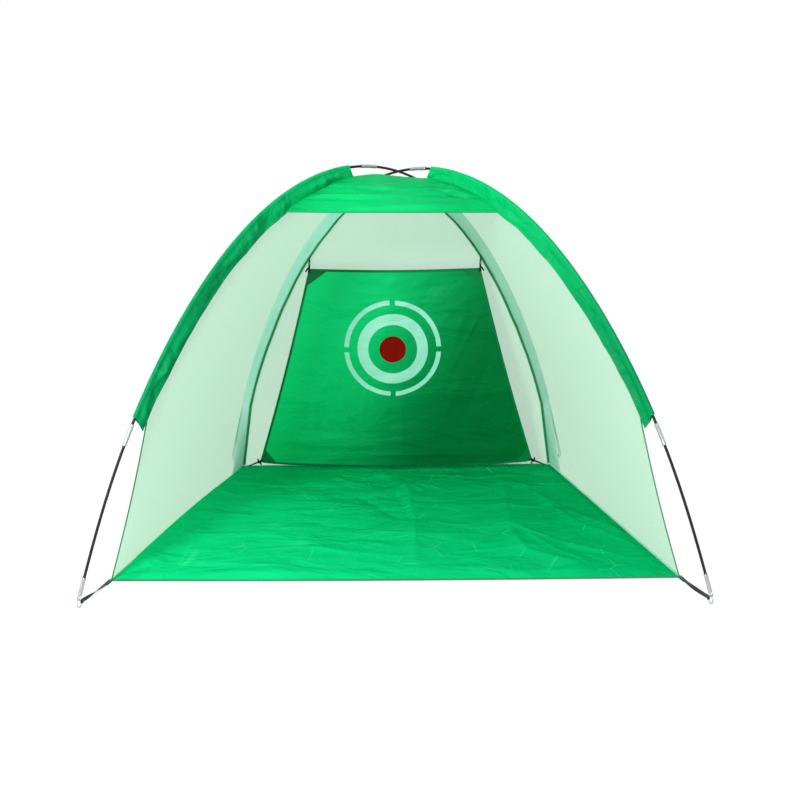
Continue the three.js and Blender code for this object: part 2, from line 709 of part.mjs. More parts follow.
const leftFlap = flapSurface(poles.right, -1);
const rightFlap = flapSurface(poles.left, 1);
const flapCloth = (surface) => cloth(3, REAR_STRAIGHT_ROWS, CLOTH_THICKNESS, surface);
add('rear_left_flap', flapCloth(leftFlap), GREEN_OXFORD());
add('rear_right_flap', flapCloth((u, v) => rightFlap(1 - u, v)), GREEN_OXFORD());

// ---- target cloth, hooks and ties -----------------------------------------------------------------------

// The point of a rear seam at the height where the upper ties hold it.
function tieSeam(side) {
  const pole = side < 0 ? poles.right : poles.left;
  let length = pole.crossingLength() + SLEEVE_TO_CROSSING;
  while (pole.inside(length, REAR_SEAM_REACH).z > UPPER_TIE_HEIGHT) length += 1;
  return pole.inside(length, REAR_SEAM_REACH);
}

// Where a side netting's rear edge, straight between its rows, passes a height, and the way into the net.
function sideNettingAt(side, height) {
  const [rear, front] = side < 0 ? [leftRear, leftFront] : [rightRear, rightFront];
  let row = ROWS - 1;
  while (row > 0 && rear(row / ROWS).z > height) row -= 1;
  const low = rear(row / ROWS);
  const rise = rear((row + 1) / ROWS).sub(low);
  const edge = low.clone().addScaledVector(rise, (height - low.z) / rise.z);
  const across = front((row + 0.5) / ROWS).sub(edge).cross(rise).normalize();
  return { edge, inward: across.multiplyScalar(-Math.sign(across.x) * side) };
}

const TARGET_TOP = tieSeam(1).add(TARGET_TOP_FROM_SEAM);
const TARGET_BOTTOM = new THREE.Vector3(FLOOR_BACK_WIDTH / 2, FLOOR_BACK_Y, 0).add(TARGET_BOTTOM_FROM_FLOOR);

function targetCorner(side, top) {
  const corner = top ? TARGET_TOP : TARGET_BOTTOM;
  return new THREE.Vector3(corner.x * side, corner.y, corner.z);
}

const TARGET_UP = targetCorner(1, true).sub(targetCorner(1, false)).setX(0).normalize();
const TARGET_NORMAL = AHEAD.clone().cross(TARGET_UP).normalize();

// Four pointed corners with hollow edges between them, and soft folds that run in from the corners.
function targetSurface(u, v) {
  const left = between(targetCorner(-1, false), targetCorner(-1, true), v);
  const right = between(targetCorner(1, false), targetCorner(1, true), v);
  const hollowSides = TARGET_HANG_IN * Math.sin(Math.PI * v) * (1 - 2 * u);
  const hollowEnds = TARGET_HANG_IN * Math.sin(Math.PI * u) * (1 - 2 * v);
  const point = between(left, right, u);
  point.x += hollowSides;
  point.addScaledVector(TARGET_UP, hollowEnds);
  const inside = Math.sin(Math.PI * u) * Math.sin(Math.PI * v);
  const upright = Math.cos(2 * Math.PI * 3 * (u - 0.5)) * (1 - 0.5 * v);
  const slanting = Math.sin(2 * Math.PI * (1.5 * v + 1.2 * Math.abs(2 * u - 1)));
  const swell = TARGET_BELLY + TARGET_FOLD * (upright + 0.75 * slanting);
  return point.addScaledVector(TARGET_NORMAL, inside * swell);
}

// A hook's frame: a along the pull from the cloth to the tie, b through the cloth, c across both.
function hookFrame(side, top) {
  const corner = targetCorner(side, top);
  const anchor = top ? upperAnchor(side) : lowerAnchor(side);
  const a = anchor.clone().sub(corner).normalize();
  const c = a.clone().cross(TARGET_NORMAL).normalize();
  const b = c.clone().cross(a).normalize();
  return { corner, anchor, a, b, c };
}

// An upper tie starts where both of its strands stand clear of the side netting's inner face.
function upperAnchor(side) {
  const seam = tieSeam(side);
  const toCloth = targetCorner(side, true).sub(seam).normalize();
  const level = UP.clone().cross(toCloth).normalize();
  const { edge, inward } = sideNettingAt(side, seam.z);
  const rise = toCloth.dot(inward);
  const strands = TIE_DIAMETER * Math.sqrt(1 - rise ** 2) + TIE_PITCH * Math.abs(level.dot(inward));
  const needed = (NETTING_THICKNESS + strands) / 2 + TIE_CLEARANCE + edge.sub(seam).dot(inward);
  return seam.addScaledVector(toCloth, Math.max(TIE_SEAT, needed / rise));
}

function lowerAnchor(side) {
  const x = FLOOR_BACK_WIDTH / 2 - LOWER_TIE_INSET.x;
  const y = FLOOR_BACK_Y - LOWER_TIE_INSET.y;
  return new THREE.Vector3(side * x, y, FLOOR_TOP + TIE_DIAMETER / 2 + TOUCH_GAP);
}

// A wire bent into an open hook, a straight shank and an eye that closes back onto the shank.
function hookPoints() {
  const points = [];
  const hookSteps = 9;
  const hookFrom = 95;
  const shankAt = 270;
  for (let i = 0; i <= hookSteps; i += 1) {
    const turn = THREE.MathUtils.degToRad(THREE.MathUtils.lerp(hookFrom, shankAt, i / hookSteps));
    points.push(new THREE.Vector3(HOOK_RADIUS * Math.cos(turn), HOOK_RADIUS * Math.sin(turn), 0));
  }
  const eyeSteps = 11;
  const eyeTurn = 272;
  for (let i = 0; i <= eyeSteps; i += 1) {
    const turn = THREE.MathUtils.degToRad(shankAt + (eyeTurn * i) / eyeSteps);
    points.push(new THREE.Vector3(
      HOOK_SHANK + HOOK_EYE_RADIUS * Math.cos(turn),
      HOOK_EYE_RADIUS - HOOK_RADIUS + HOOK_EYE_RADIUS * Math.sin(turn),
      0,
    ));
  }
  return points;
}

// The centre of the hook's bend lies this far out from the eyelet's centre, so the wire bears on its edge.
const EYELET_TO_BEND = HOOK_RADIUS + EYELET_DIAMETER / 2 - HOOK_WIRE / 2 - TOUCH_GAP;

function targetCloth() {
  const drillLength = 30;
  const drillSides = 12;
  let body = cloth(16, 16, CLOTH_THICKNESS, targetSurface);
  for (const side of [-1, 1]) {
    for (const top of [false, true]) {
      const { corner, a } = hookFrame(side, top);
      const radius = EYELET_DIAMETER / 2;
      const drill = new THREE.CylinderGeometry(radius, radius, drillLength, drillSides);
      const centre = corner.clone().addScaledVector(a, -EYELET_INSET);
      const across = TARGET_NORMAL.clone().cross(a).normalize();
      placed(drill, centre, across.clone().cross(TARGET_NORMAL), TARGET_NORMAL, across.negate());
      body = cut(body, drill);
    }
  }
  return body;
}

function addHookAndTie(side, top) {
  const name = `${top ? 'upper' : 'lower'}_${side < 0 ? 'left' : 'right'}`;
  const { corner, anchor, a, b, c } = hookFrame(side, top);
  const bend = corner.clone().addScaledVector(a, EYELET_TO_BEND - EYELET_INSET);
  const wire = sweep(disc(HOOK_WIRE / 2, 6), Route.through(hookPoints(), new THREE.Vector3(0, 0, 1)));
  add(`${name}_hook`, placed(wire, bend, a, b, c), BLACK_WIRE());

  const eye = bend.clone()
    .addScaledVector(a, HOOK_SHANK + HOOK_EYE_RADIUS - (HOOK_WIRE + TIE_DIAMETER) / 2 - TOUCH_GAP)
    .addScaledVector(b, HOOK_EYE_RADIUS - HOOK_RADIUS);
  const level = UP.clone().cross(a).normalize();
  level.multiplyScalar(Math.sign(level.dot(c)));
  const strand = (sign) => {
    const widths = [TIE_SPREAD, TIE_SPREAD, TIE_SPREAD * 0.88, TIE_SPREAD * 0.54];
    const bends = [14, 6, 1.6, 0.1].map((out, i) => eye.clone()
      .addScaledVector(c, sign * widths[i]).addScaledVector(a, out));
    return [anchor.clone().addScaledVector(level, sign * TIE_PITCH / 2), ...bends];
  };
  const control = [...strand(1), eye, ...strand(-1).reverse()];
  const points = new THREE.CatmullRomCurve3(control).getPoints(3 * (control.length - 1));
  add(`${name}_tie`, sweep(disc(TIE_DIAMETER / 2, 8), Route.through(points, b)), ELASTIC());
}

add('target_cloth', targetCloth(), TARGET_OXFORD());
for (const side of [-1, 1]) {
  for (const top of [true, false]) addHookAndTie(side, top);
}

export default net;
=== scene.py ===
"""A tent-shaped golf chipping net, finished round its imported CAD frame.

Two sprung poles cross overhead. A netting body hangs inside them from green sleeves, a target cloth is
hooked into the back of it, and a strap, ring and pin hold each pole foot to a corner of the floor sheet.
Metres, +Z up, the origin on the ground at the centre of the footprint. The net opens to -Y.
"""

import json
import logging
import math
import random
from dataclasses import dataclass
from enum import Enum
from typing import Callable, Optional, Sequence

import bmesh
import bpy
from mathutils import Matrix, Vector, noise

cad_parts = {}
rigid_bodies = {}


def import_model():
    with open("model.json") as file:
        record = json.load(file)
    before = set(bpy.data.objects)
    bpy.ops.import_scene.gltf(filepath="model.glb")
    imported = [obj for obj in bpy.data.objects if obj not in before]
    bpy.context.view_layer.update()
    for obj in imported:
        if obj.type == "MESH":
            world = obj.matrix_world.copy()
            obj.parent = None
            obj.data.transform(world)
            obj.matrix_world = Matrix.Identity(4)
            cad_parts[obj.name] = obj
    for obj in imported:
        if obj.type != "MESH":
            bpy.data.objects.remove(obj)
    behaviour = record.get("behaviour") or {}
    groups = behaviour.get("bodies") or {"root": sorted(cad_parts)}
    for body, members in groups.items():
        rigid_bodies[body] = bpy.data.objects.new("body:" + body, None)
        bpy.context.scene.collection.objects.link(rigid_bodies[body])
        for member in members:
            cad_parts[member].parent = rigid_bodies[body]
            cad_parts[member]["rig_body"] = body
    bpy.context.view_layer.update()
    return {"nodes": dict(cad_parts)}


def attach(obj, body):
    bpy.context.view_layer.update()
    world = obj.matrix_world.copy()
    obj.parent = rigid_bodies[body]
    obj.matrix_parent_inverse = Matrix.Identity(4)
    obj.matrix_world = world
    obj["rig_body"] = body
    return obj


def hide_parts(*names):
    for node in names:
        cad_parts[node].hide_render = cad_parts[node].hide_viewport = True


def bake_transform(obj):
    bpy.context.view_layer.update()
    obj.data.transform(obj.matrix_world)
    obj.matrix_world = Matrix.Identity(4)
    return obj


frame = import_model()

logging.basicConfig(level=logging.INFO, format="%(message)s")
LOG = logging.getLogger("chipping_net")

Surface = Callable[[float, float], Vector]
Line = Callable[[float], Vector]
UP = Vector((0, 0, 1))
MM = 0.001


# ---- small helpers --------------------------------------------------------------------------------------


def linear(code: str) -> tuple[float, float, float, float]:
    """Turns an sRGB hex value into the linear colour that a shader socket takes.

    Args:
        code: the colour as "#rrggbb".

    Returns:
        The linear red, green and blue, and an alpha of 1.
    """
    parts = [int(code[i:i + 2], 16) / 255 for i in (1, 3, 5)]
    red, green, blue = (c / 12.92 if c <= 0.04045 else ((c + 0.055) / 1.055) ** 2.4 for c in parts)
    return (red, green, blue, 1.0)


def mix(low: float, high: float, share: float) -> float:
    """Returns the value that lies at a share of the way from low to high."""
    return low + (high - low) * share


def ease(share: float, start: float = 0.0, end: float = 1.0) -> float:
    """Returns 0 before start, 1 after end, and a smooth rise between them."""
    t = min(max((share - start) / (end - start), 0.0), 1.0)
    return t * t * (3 - 2 * t)


def along_keys(keys: Sequence[tuple[float, float]], at: float) -> float:
    """Reads a value from a list of (place, value) keys, with straight runs between them."""
    if at <= keys[0][0]:
        return keys[0][1]
    for (x0, y0), (x1, y1) in zip(keys, keys[1:]):
        if at <= x1:
            return mix(y0, y1, (at - x0) / (x1 - x0))
    return keys[-1][1]


def deselect() -> None:
    """Leaves object mode with nothing selected."""
    if bpy.context.object and bpy.context.object.mode != "OBJECT":
        bpy.ops.object.mode_set(mode="OBJECT")
    bpy.ops.object.select_all(action="DESELECT")


def settle(piece: bpy.types.Object) -> None:
    """Puts a piece's place into its mesh, so that the object sits at the origin."""
    deselect()
    piece.select_set(True)
    bpy.context.view_layer.objects.active = piece
    bpy.ops.object.transform_apply(location=True, rotation=True, scale=True)


def thicken(piece: bpy.types.Object, thickness: float, offset: float = 0.0) -> None:
    """Gives a sheet its thickness, half on each side unless an offset says otherwise."""
    deselect()
    bpy.context.view_layer.objects.active = piece
    piece.select_set(True)
    wall = piece.modifiers.new("thickness", "SOLIDIFY")
    wall.thickness = thickness
    wall.offset = offset
    bpy.ops.object.modifier_apply(modifier=wall.name)


def smooth(piece: bpy.types.Object, degrees: float = 40.0) -> None:
    """Shades a piece smooth, apart from edges sharper than an angle."""
    deselect()
    bpy.context.view_layer.objects.active = piece
    piece.select_set(True)
    bpy.ops.object.shade_smooth_by_angle(angle=math.radians(degrees))


def sheet_piece(name: str, columns: int, rows: int, surface: Surface) -> bpy.types.Object:
    """Models a piece of cloth: a grid is added and its points are drawn onto a surface.

    The UV map holds real lengths in metres along the cloth, so that a weave keeps its size on it.

    Args:
        name: the piece's name.
        columns: faces across.
        rows: faces along.
        surface: the place in metres for a share across and a share along.

    Returns:
        The sheet, one layer thick.
    """
    deselect()
    bpy.ops.mesh.primitive_grid_add(x_subdivisions=columns, y_subdivisions=rows, size=1)
    piece = bpy.context.object
    piece.name = piece.data.name = name
    shares = [(v.co.x + 0.5, v.co.y + 0.5) for v in piece.data.vertices]
    for vertex, (u, v) in zip(piece.data.vertices, shares):
        vertex.co = surface(min(max(u, 0.0), 1.0), min(max(v, 0.0), 1.0))
    middle = [surface(i / columns, 0.5) for i in range(columns + 1)]
    centre = [surface(0.5, j / rows) for j in range(rows + 1)]
    width = sum((b - a).length for a, b in zip(middle, middle[1:]))
    length = sum((b - a).length for a, b in zip(centre, centre[1:]))
    layer = piece.data.uv_layers.active or piece.data.uv_layers.new(name="UVMap")
    for loop in piece.data.loops:
        u, v = shares[loop.vertex_index]
        layer.data[loop.index].uv = (u * width, v * length)
    piece.data.update()
    return piece


def swept_wire(
    name: str,
    path: Sequence[tuple[float, float]],
    radii: Sequence[float],
    place: Matrix,
    sides: int = 16,
) -> bpy.types.Object:
    """Models a rod, tube or bent wire: a disc is extruded and turned from station to station of a flat path.

    Args:
        name: the piece's name.
        path: the centre line in its own plane, as (across, up) in metres.
        radii: the radius at each station.
        place: where the path's plane lies. Its X is across and its Z is up.
        sides: corners of the section.

    Returns:
        The closed, smooth piece, with its place in its mesh.
    """
    last = len(path) - 1
    turns = []
    for i in range(last + 1):
        (x0, z0), (x1, z1) = path[max(i - 1, 0)], path[min(i + 1, last)]
        turn = math.atan2(x1 - x0, z1 - z0)
        while turns and turn - turns[-1] > math.pi:
            turn -= 2 * math.pi
        while turns and turn - turns[-1] < -math.pi:
            turn += 2 * math.pi
        turns.append(turn)
    deselect()
    bpy.ops.mesh.primitive_circle_add(
        vertices=sides, radius=radii[0], fill_type="NGON",
        location=(path[0][0], 0, path[0][1]), rotation=(0, turns[0], 0),
    )
    piece = bpy.context.object
    piece.name = piece.data.name = name
    bpy.ops.object.mode_set(mode="EDIT")
    bpy.ops.mesh.select_all(action="SELECT")
    for i in range(1, last + 1):
        (x0, z0), (x1, z1) = path[i - 1], path[i]
        bpy.ops.mesh.extrude_region_move(TRANSFORM_OT_translate={"value": (x1 - x0, 0, z1 - z0)})
        centre = (x1, 0, z1)
        if abs(turns[i] - turns[i - 1]) > 1e-6:
            bpy.ops.transform.rotate(value=turns[i - 1] - turns[i], orient_axis="Y", center_override=centre)
        if abs(radii[i] / radii[i - 1] - 1) > 1e-6:
            bpy.ops.transform.resize(value=(radii[i] / radii[i - 1],) * 3, center_override=centre)
    bpy.ops.mesh.select_all(action="SELECT")
    bpy.ops.mesh.normals_make_consistent(inside=False)
    bpy.ops.object.mode_set(mode="OBJECT")
    settle(piece)
    piece.matrix_world = place
    settle(piece)
    smooth(piece)
    return piece


def soft_tube(name: str, points: Sequence[Vector], radius: float, sides: int = 10) -> bpy.types.Object:
    """Models a limp cord: a tall cylinder is added and its rings are drawn onto a free path.

    Args:
        name: the piece's name.
        points: the stations of the centre line.
        radius: the cord's radius.
        sides: corners of the section.

    Returns:
        The closed cord.
    """
    last = len(points) - 1
    normal = (points[1] - points[0]).orthogonal().normalized()
    rings = []
    for i, point in enumerate(points):
        tangent = (points[min(i + 1, last)] - points[max(i - 1, 0)]).normalized()
        normal = (normal - tangent * normal.dot(tangent)).normalized()
        rings.append((point, normal.copy(), tangent.cross(normal)))

    def wall(u: float, v: float) -> Vector:
        point, first, second = rings[round(v * last)]
        turn = 2 * math.pi * u
        return point + first * (radius * math.cos(turn)) + second * (radius * math.sin(turn))

    piece = sheet_piece(name, sides, last, wall)
    deselect()
    piece.select_set(True)
    bpy.context.view_layer.objects.active = piece
    bpy.ops.object.mode_set(mode="EDIT")
    bpy.ops.mesh.select_all(action="SELECT")
    bpy.ops.mesh.remove_doubles(threshold=1e-5)
    bpy.ops.mesh.fill_holes(sides=0)
    bpy.ops.mesh.select_all(action="SELECT")
    bpy.ops.mesh.normals_make_consistent(inside=False)
    bpy.ops.object.mode_set(mode="OBJECT")
    smooth(piece, 60)
    return piece


def duplicate(piece: bpy.types.Object, name: str, place: Matrix) -> bpy.types.Object:
    """Copies a modelled piece with its own mesh and sets the copy in its place."""
    other = piece.copy()
    other.data = piece.data.copy()
    other.name = other.data.name = name
    bpy.context.scene.collection.objects.link(other)
    other.matrix_world = place
    settle(other)
    return other


def basis(origin: Vector, x: Vector, y: Vector, z: Vector) -> Matrix:
    """Builds the matrix that puts a model's own X, Y and Z along three given directions."""
    return Matrix([(x[i], y[i], z[i], origin[i]) for i in range(3)] + [(0, 0, 0, 1)])


@dataclass(frozen=True)
class Crease:
    """One fold line in a cloth: a sharp ridge, or a valley where its height is negative.

    Attributes:
        start: one end, in metres on the flat cloth.
        end: the other end.
        height: how high the ridge stands.
        width: how far from the ridge its slope has fallen to a third.
    """

    start: tuple[float, float]
    end: tuple[float, float]
    height: float
    width: float

    def lift(self, x: float, y: float) -> float:
        """Returns how far this fold lifts the cloth at a point."""
        run_x, run_y = self.end[0] - self.start[0], self.end[1] - self.start[1]
        long = run_x * run_x + run_y * run_y
        share = ((x - self.start[0]) * run_x + (y - self.start[1]) * run_y) / long
        if not -0.2 < share < 1.2:
            return 0.0
        gap = abs((x - self.start[0]) * run_y - (y - self.start[1]) * run_x) / math.sqrt(long)
        if gap > 4.5 * self.width:
            return 0.0
        taper = ease(share, -0.2, 0.25) * ease(1 - share, -0.2, 0.25)
        return self.height * taper * math.exp(-gap / self.width)


def scattered(
    seed: int, count: int, box: tuple, length: tuple, angles: tuple, height: tuple, width: tuple
) -> list[Crease]:
    """Scatters fold lines over a cloth, the same ones each time.

    Args:
        seed: the seed.
        count: how many.
        box: the lowest and highest x and y of their middles.
        length: the shortest and longest.
        angles: the least and greatest angle to the x axis, in degrees.
        height: the lowest and highest. Every third one is a valley.
        width: the narrowest and widest.

    Returns:
        The folds.
    """
    dice = random.Random(seed)
    folds = []
    for i in range(count):
        x, y = dice.uniform(box[0], box[1]), dice.uniform(box[2], box[3])
        turn, half = math.radians(dice.uniform(*angles)), dice.uniform(*length) / 2
        dx, dy = half * math.cos(turn), half * math.sin(turn)
        rise = dice.uniform(*height) * (-1 if i % 3 == 0 else 1)
        folds.append(Crease((x - dx, y - dy), (x + dx, y + dy), rise, dice.uniform(*width)))
    return folds


def lifted(folds: Sequence[Crease], x: float, y: float) -> float:
    """Returns how far all the folds together lift the cloth at a point."""
    return sum(fold.lift(x, y) for fold in folds)


# ---- finishes -------------------------------------------------------------------------------------------


def add_node(tree: bpy.types.NodeTree, kind: str, inputs: Optional[dict] = None, **settings) -> bpy.types.Node:
    """Adds a node to a tree, with its settings, values and links.

    Args:
        tree: the tree.
        kind: the node's type.
        inputs: a value or an output socket for each input's name or number.
        settings: the node's own properties.

    Returns:
        The node.
    """
    node = tree.nodes.new(kind)
    for key, value in settings.items():
        setattr(node, key, value)
    for key, value in (inputs or {}).items():
        if isinstance(value, bpy.types.NodeSocket):
            tree.links.new(value, node.inputs[key])
        else:
            node.inputs[key].default_value = value
    return node


def new_material(name: str) -> tuple[bpy.types.Material, bpy.types.NodeTree, bpy.types.Node]:
    """Returns an empty node material, its tree and its output node."""
    material = bpy.data.materials.new(name)
    material.use_nodes = True
    material.node_tree.nodes.clear()
    output = add_node(material.node_tree, "ShaderNodeOutputMaterial")
    return material, material.node_tree, output


class Coordinates(Enum):
    """Where a pattern takes its place from."""

    OBJECT = "Object"
    UV = "UV"


def coordinates(tree: bpy.types.NodeTree, kind: Coordinates) -> bpy.types.NodeSocket:
    """Returns the socket that gives a pattern its place."""
    return add_node(tree, "ShaderNodeTexCoord").outputs[kind.value]


@dataclass(frozen=True)
class Oxford:
    """Polyester Oxford, woven in a basket weave and coated on one side: even colour with a soft waxy sheen, except
    where painted shade or painted crease tones are given.
    """

    name: str
    colour: str
    shade: str
    weave: float = 3.2 * MM  # real threads are 0.4 mm apart, drawn eight times as coarse so that they show
    crinkle: float = 0.35
    crinkle_scale: float = 9.0
    draw: tuple[float, float, float] = (0.5, 1.0, 1.0)
    roughness: float = 0.42
    gloss: float = 0.12
    translucent: float = 0.0
    glow: str = "#30d080"
    # painted shade: the cloth is painted from its colour into its shade tone along this way through the object's
    # coordinates, between the two ends below
    painted_shade_way: tuple[float, float, float] = (0.0, 0.0, 0.0)
    painted_shade_ends: tuple[float, float] = (0.0, 1.0)
    # painted crease tone: how strongly the crease lines are painted in it, where a pale tone is a painted highlight and
    # a dark one is painted shade; any value also raises the lines in the relief
    creases: float = 0.0
    crease_scale: float = 5.0
    painted_crease_tone: str = "#48f8ae"

    def pressed(self, tree: bpy.types.NodeTree) -> bpy.types.NodeSocket:
        """Returns the thin broken lines where the folded cloth was pressed: 1 on a line and 0 beside it. They are
        raised in the relief and painted in the crease tone.
        """
        place = coordinates(tree, Coordinates.OBJECT)
        line = add_node(
            tree, "ShaderNodeTexVoronoi", {"Vector": place, "Scale": self.crease_scale}, feature="DISTANCE_TO_EDGE"
        )
        sharp = add_node(
            tree, "ShaderNodeMapRange",
            {"Value": line.outputs["Distance"], "From Max": 0.022, "To Min": 1.0, "To Max": 0.0},
        )
        parts = add_node(tree, "ShaderNodeTexNoise", {"Vector": place, "Scale": 7.0, "Detail": 1.0})
        broken = add_node(
            tree, "ShaderNodeMapRange", {"Value": parts.outputs["Fac"], "From Min": 0.50, "From Max": 0.66}
        )
        both = add_node(
            tree, "ShaderNodeMath", {0: sharp.outputs["Result"], 1: broken.outputs["Result"]}, operation="MULTIPLY"
        )
        return both.outputs[0]

    def base(self, tree: bpy.types.NodeTree) -> bpy.types.NodeSocket:
        """Returns the cloth's colour: its two tones drifting at random, or, where a painted shade way is given, painted
        shade from the colour into the shade tone along that way, with a little drift.
        """
        place = coordinates(tree, Coordinates.OBJECT)
        drift = add_node(tree, "ShaderNodeTexNoise", {"Vector": place, "Scale": 2.2, "Detail": 2.0})
        # painted shade: how far along the painted shade's way each point lies
        along = add_node(tree, "ShaderNodeVectorMath", {0: place, 1: self.painted_shade_way}, operation="DOT_PRODUCT")
        if any(self.painted_shade_way):
            spread = 0.12 * (self.painted_shade_ends[1] - self.painted_shade_ends[0])
            sum_up = add_node(
                tree, "ShaderNodeMath", {0: drift.outputs["Fac"], 1: spread, 2: along.outputs["Value"]},
                operation="MULTIPLY_ADD",
            )
            low, high = self.painted_shade_ends
            ramp = add_node(tree, "ShaderNodeMapRange", {"Value": sum_up.outputs[0], "From Min": low, "From Max": high},
                            interpolation_type="SMOOTHSTEP")
        else:
            tree.nodes.remove(along)
            ramp = add_node(
                tree, "ShaderNodeMapRange", {"Value": drift.outputs["Fac"], "From Min": 0.38, "From Max": 0.62}
            )
        blend = add_node(
            tree, "ShaderNodeMix",
            {0: ramp.outputs["Result"], 6: linear(self.colour), 7: linear(self.shade)}, data_type="RGBA",
        )
        if not self.creases:
            return blend.outputs[2]
        # painted crease tone: pale crease lines are painted highlights, dark ones are painted shade
        wear_and_painted_crease = add_node(tree, "ShaderNodeMath", {0: self.pressed(tree), 1: self.creases}, operation="MULTIPLY")
        with_painted_creases = add_node(
            tree, "ShaderNodeMix", {0: wear_and_painted_crease.outputs[0], 6: blend.outputs[2], 7: linear(self.painted_crease_tone)},
            data_type="RGBA",
        )
        return with_painted_creases.outputs[2]

    def relief(self, tree: bpy.types.NodeTree) -> bpy.types.NodeSocket:
        """Returns the surface's normal: the crumple that packing leaves, drawn out one way, over the basket weave."""
        place = coordinates(tree, Coordinates.OBJECT)
        drawn = add_node(
            tree, "ShaderNodeMapping", {"Vector": place, "Rotation": (0.0, 0.0, 0.25), "Scale": self.draw}
        )
        crumple = add_node(
            tree, "ShaderNodeTexNoise",
            {"Vector": drawn.outputs[0], "Scale": self.crinkle_scale, "Detail": 5.0, "Roughness": 0.52,
             "Distortion": 0.6},
        )
        sharp = add_node(
            tree, "ShaderNodeBump",
            {"Strength": self.crinkle, "Distance": 0.5 / self.crinkle_scale, "Height": crumple.outputs["Fac"]},
        )
        normal = sharp.outputs["Normal"]
        if self.creases:
            ridges = add_node(
                tree, "ShaderNodeBump",
                {"Strength": 0.5, "Distance": 2.5 * MM, "Height": self.pressed(tree), "Normal": normal},
            )
            normal = ridges.outputs["Normal"]
        uv = coordinates(tree, Coordinates.UV)
        waves = [
            add_node(
                tree, "ShaderNodeTexWave", {"Vector": uv, "Scale": 0.314 / self.weave},
                wave_type="BANDS", bands_direction=way,
            ).outputs["Fac"]
            for way in ("X", "Y")
        ]
        weave = add_node(tree, "ShaderNodeMath", {0: waves[0], 1: waves[1]}, operation="MULTIPLY")
        fine = add_node(
            tree, "ShaderNodeBump",
            {"Strength": 0.12, "Distance": 0.4 * MM, "Height": weave.outputs[0], "Normal": normal},
        )
        return fine.outputs["Normal"]

    def material(self) -> bpy.types.Material:
        """Builds the woven cloth's material."""
        material, tree, output = new_material(self.name)
        colour, normal = self.base(tree), self.relief(tree)
        cloth = add_node(
            tree, "ShaderNodeBsdfPrincipled",
            {"Base Color": colour, "Normal": normal, "Roughness": self.roughness,
             "Specular IOR Level": self.gloss},
        )
        shader = cloth.outputs[0]
        if self.translucent:
            through = add_node(tree, "ShaderNodeBsdfTranslucent", {"Color": linear(self.glow), "Normal": normal})
            shader = add_node(tree, "ShaderNodeMixShader", {0: self.translucent, 1: shader, 2: through.outputs[0]}).outputs[0]
        tree.links.new(shader, output.inputs["Surface"])
        return material


@dataclass(frozen=True)
class PrintedOxford(Oxford):
    """The same Oxford with plain concentric rings screen-printed on it: flat ink that follows the folds."""

    ring_ink: str = "#98d8c4"
    disc_ink: str = "#7c0c04"
    centre: tuple[float, float, float] = (-0.012, 0.452, 0.635)
    stretch: float = 1.055
    tilt: float = 0.197
    outer: tuple[float, float] = (0.200, 0.221)
    inner: tuple[float, float] = (0.112, 0.161)
    disc: float = 0.061
    gap: float = 12 * MM

    def base(self, tree: bpy.types.NodeTree) -> bpy.types.NodeSocket:
        """Returns the cloth's colour with the rings and the disc printed over it."""
        ground = super().base(tree)
        place = coordinates(tree, Coordinates.OBJECT)
        flat = add_node(
            tree, "ShaderNodeMapping",
            {"Vector": place, "Location": self.centre, "Rotation": (math.pi / 2 + self.tilt, 0, 0),
             "Scale": (1.0, self.stretch, 1.0)},
            vector_type="TEXTURE",
        )
        level = add_node(
            tree, "ShaderNodeVectorMath", {0: flat.outputs[0], 1: (1.0, 1.0, 0.0)}, operation="MULTIPLY"
        )
        radius = add_node(tree, "ShaderNodeVectorMath", {0: level.outputs[0]}, operation="LENGTH").outputs["Value"]
        axes = add_node(tree, "ShaderNodeSeparateXYZ", {0: level.outputs[0]})

        def band(low: float, high: float) -> bpy.types.NodeSocket:
            """Returns 1 between two radii and 0 elsewhere."""
            return add_node(
                tree, "ShaderNodeMath", {0: radius, 1: (low + high) / 2, 2: (high - low) / 2}, operation="COMPARE"
            ).outputs[0]

        ring = band(*self.outer)
        for axis in ("X", "Y"):
            size = add_node(tree, "ShaderNodeMath", {0: axes.outputs[axis]}, operation="ABSOLUTE")
            clear = add_node(tree, "ShaderNodeMath", {0: size.outputs[0], 1: self.gap}, operation="GREATER_THAN")
            ring = add_node(tree, "ShaderNodeMath", {0: ring, 1: clear.outputs[0]}, operation="MULTIPLY").outputs[0]
        rings = add_node(tree, "ShaderNodeMath", {0: ring, 1: band(*self.inner)}, operation="MAXIMUM")
        facing = add_node(tree, "ShaderNodeSeparateXYZ", {0: add_node(tree, "ShaderNodeTexCoord").outputs["Normal"]})
        front = add_node(tree, "ShaderNodeMath", {0: facing.outputs["Y"], 1: 0.0}, operation="LESS_THAN").outputs[0]
        for shape, ink in ((rings.outputs[0], self.ring_ink), (band(-0.01, self.disc), self.disc_ink)):
            mask = add_node(tree, "ShaderNodeMath", {0: shape, 1: front}, operation="MULTIPLY").outputs[0]
            ground = add_node(
                tree, "ShaderNodeMix", {0: mask, 6: ground, 7: linear(ink)}, data_type="RGBA"
            ).outputs[2]
        return ground


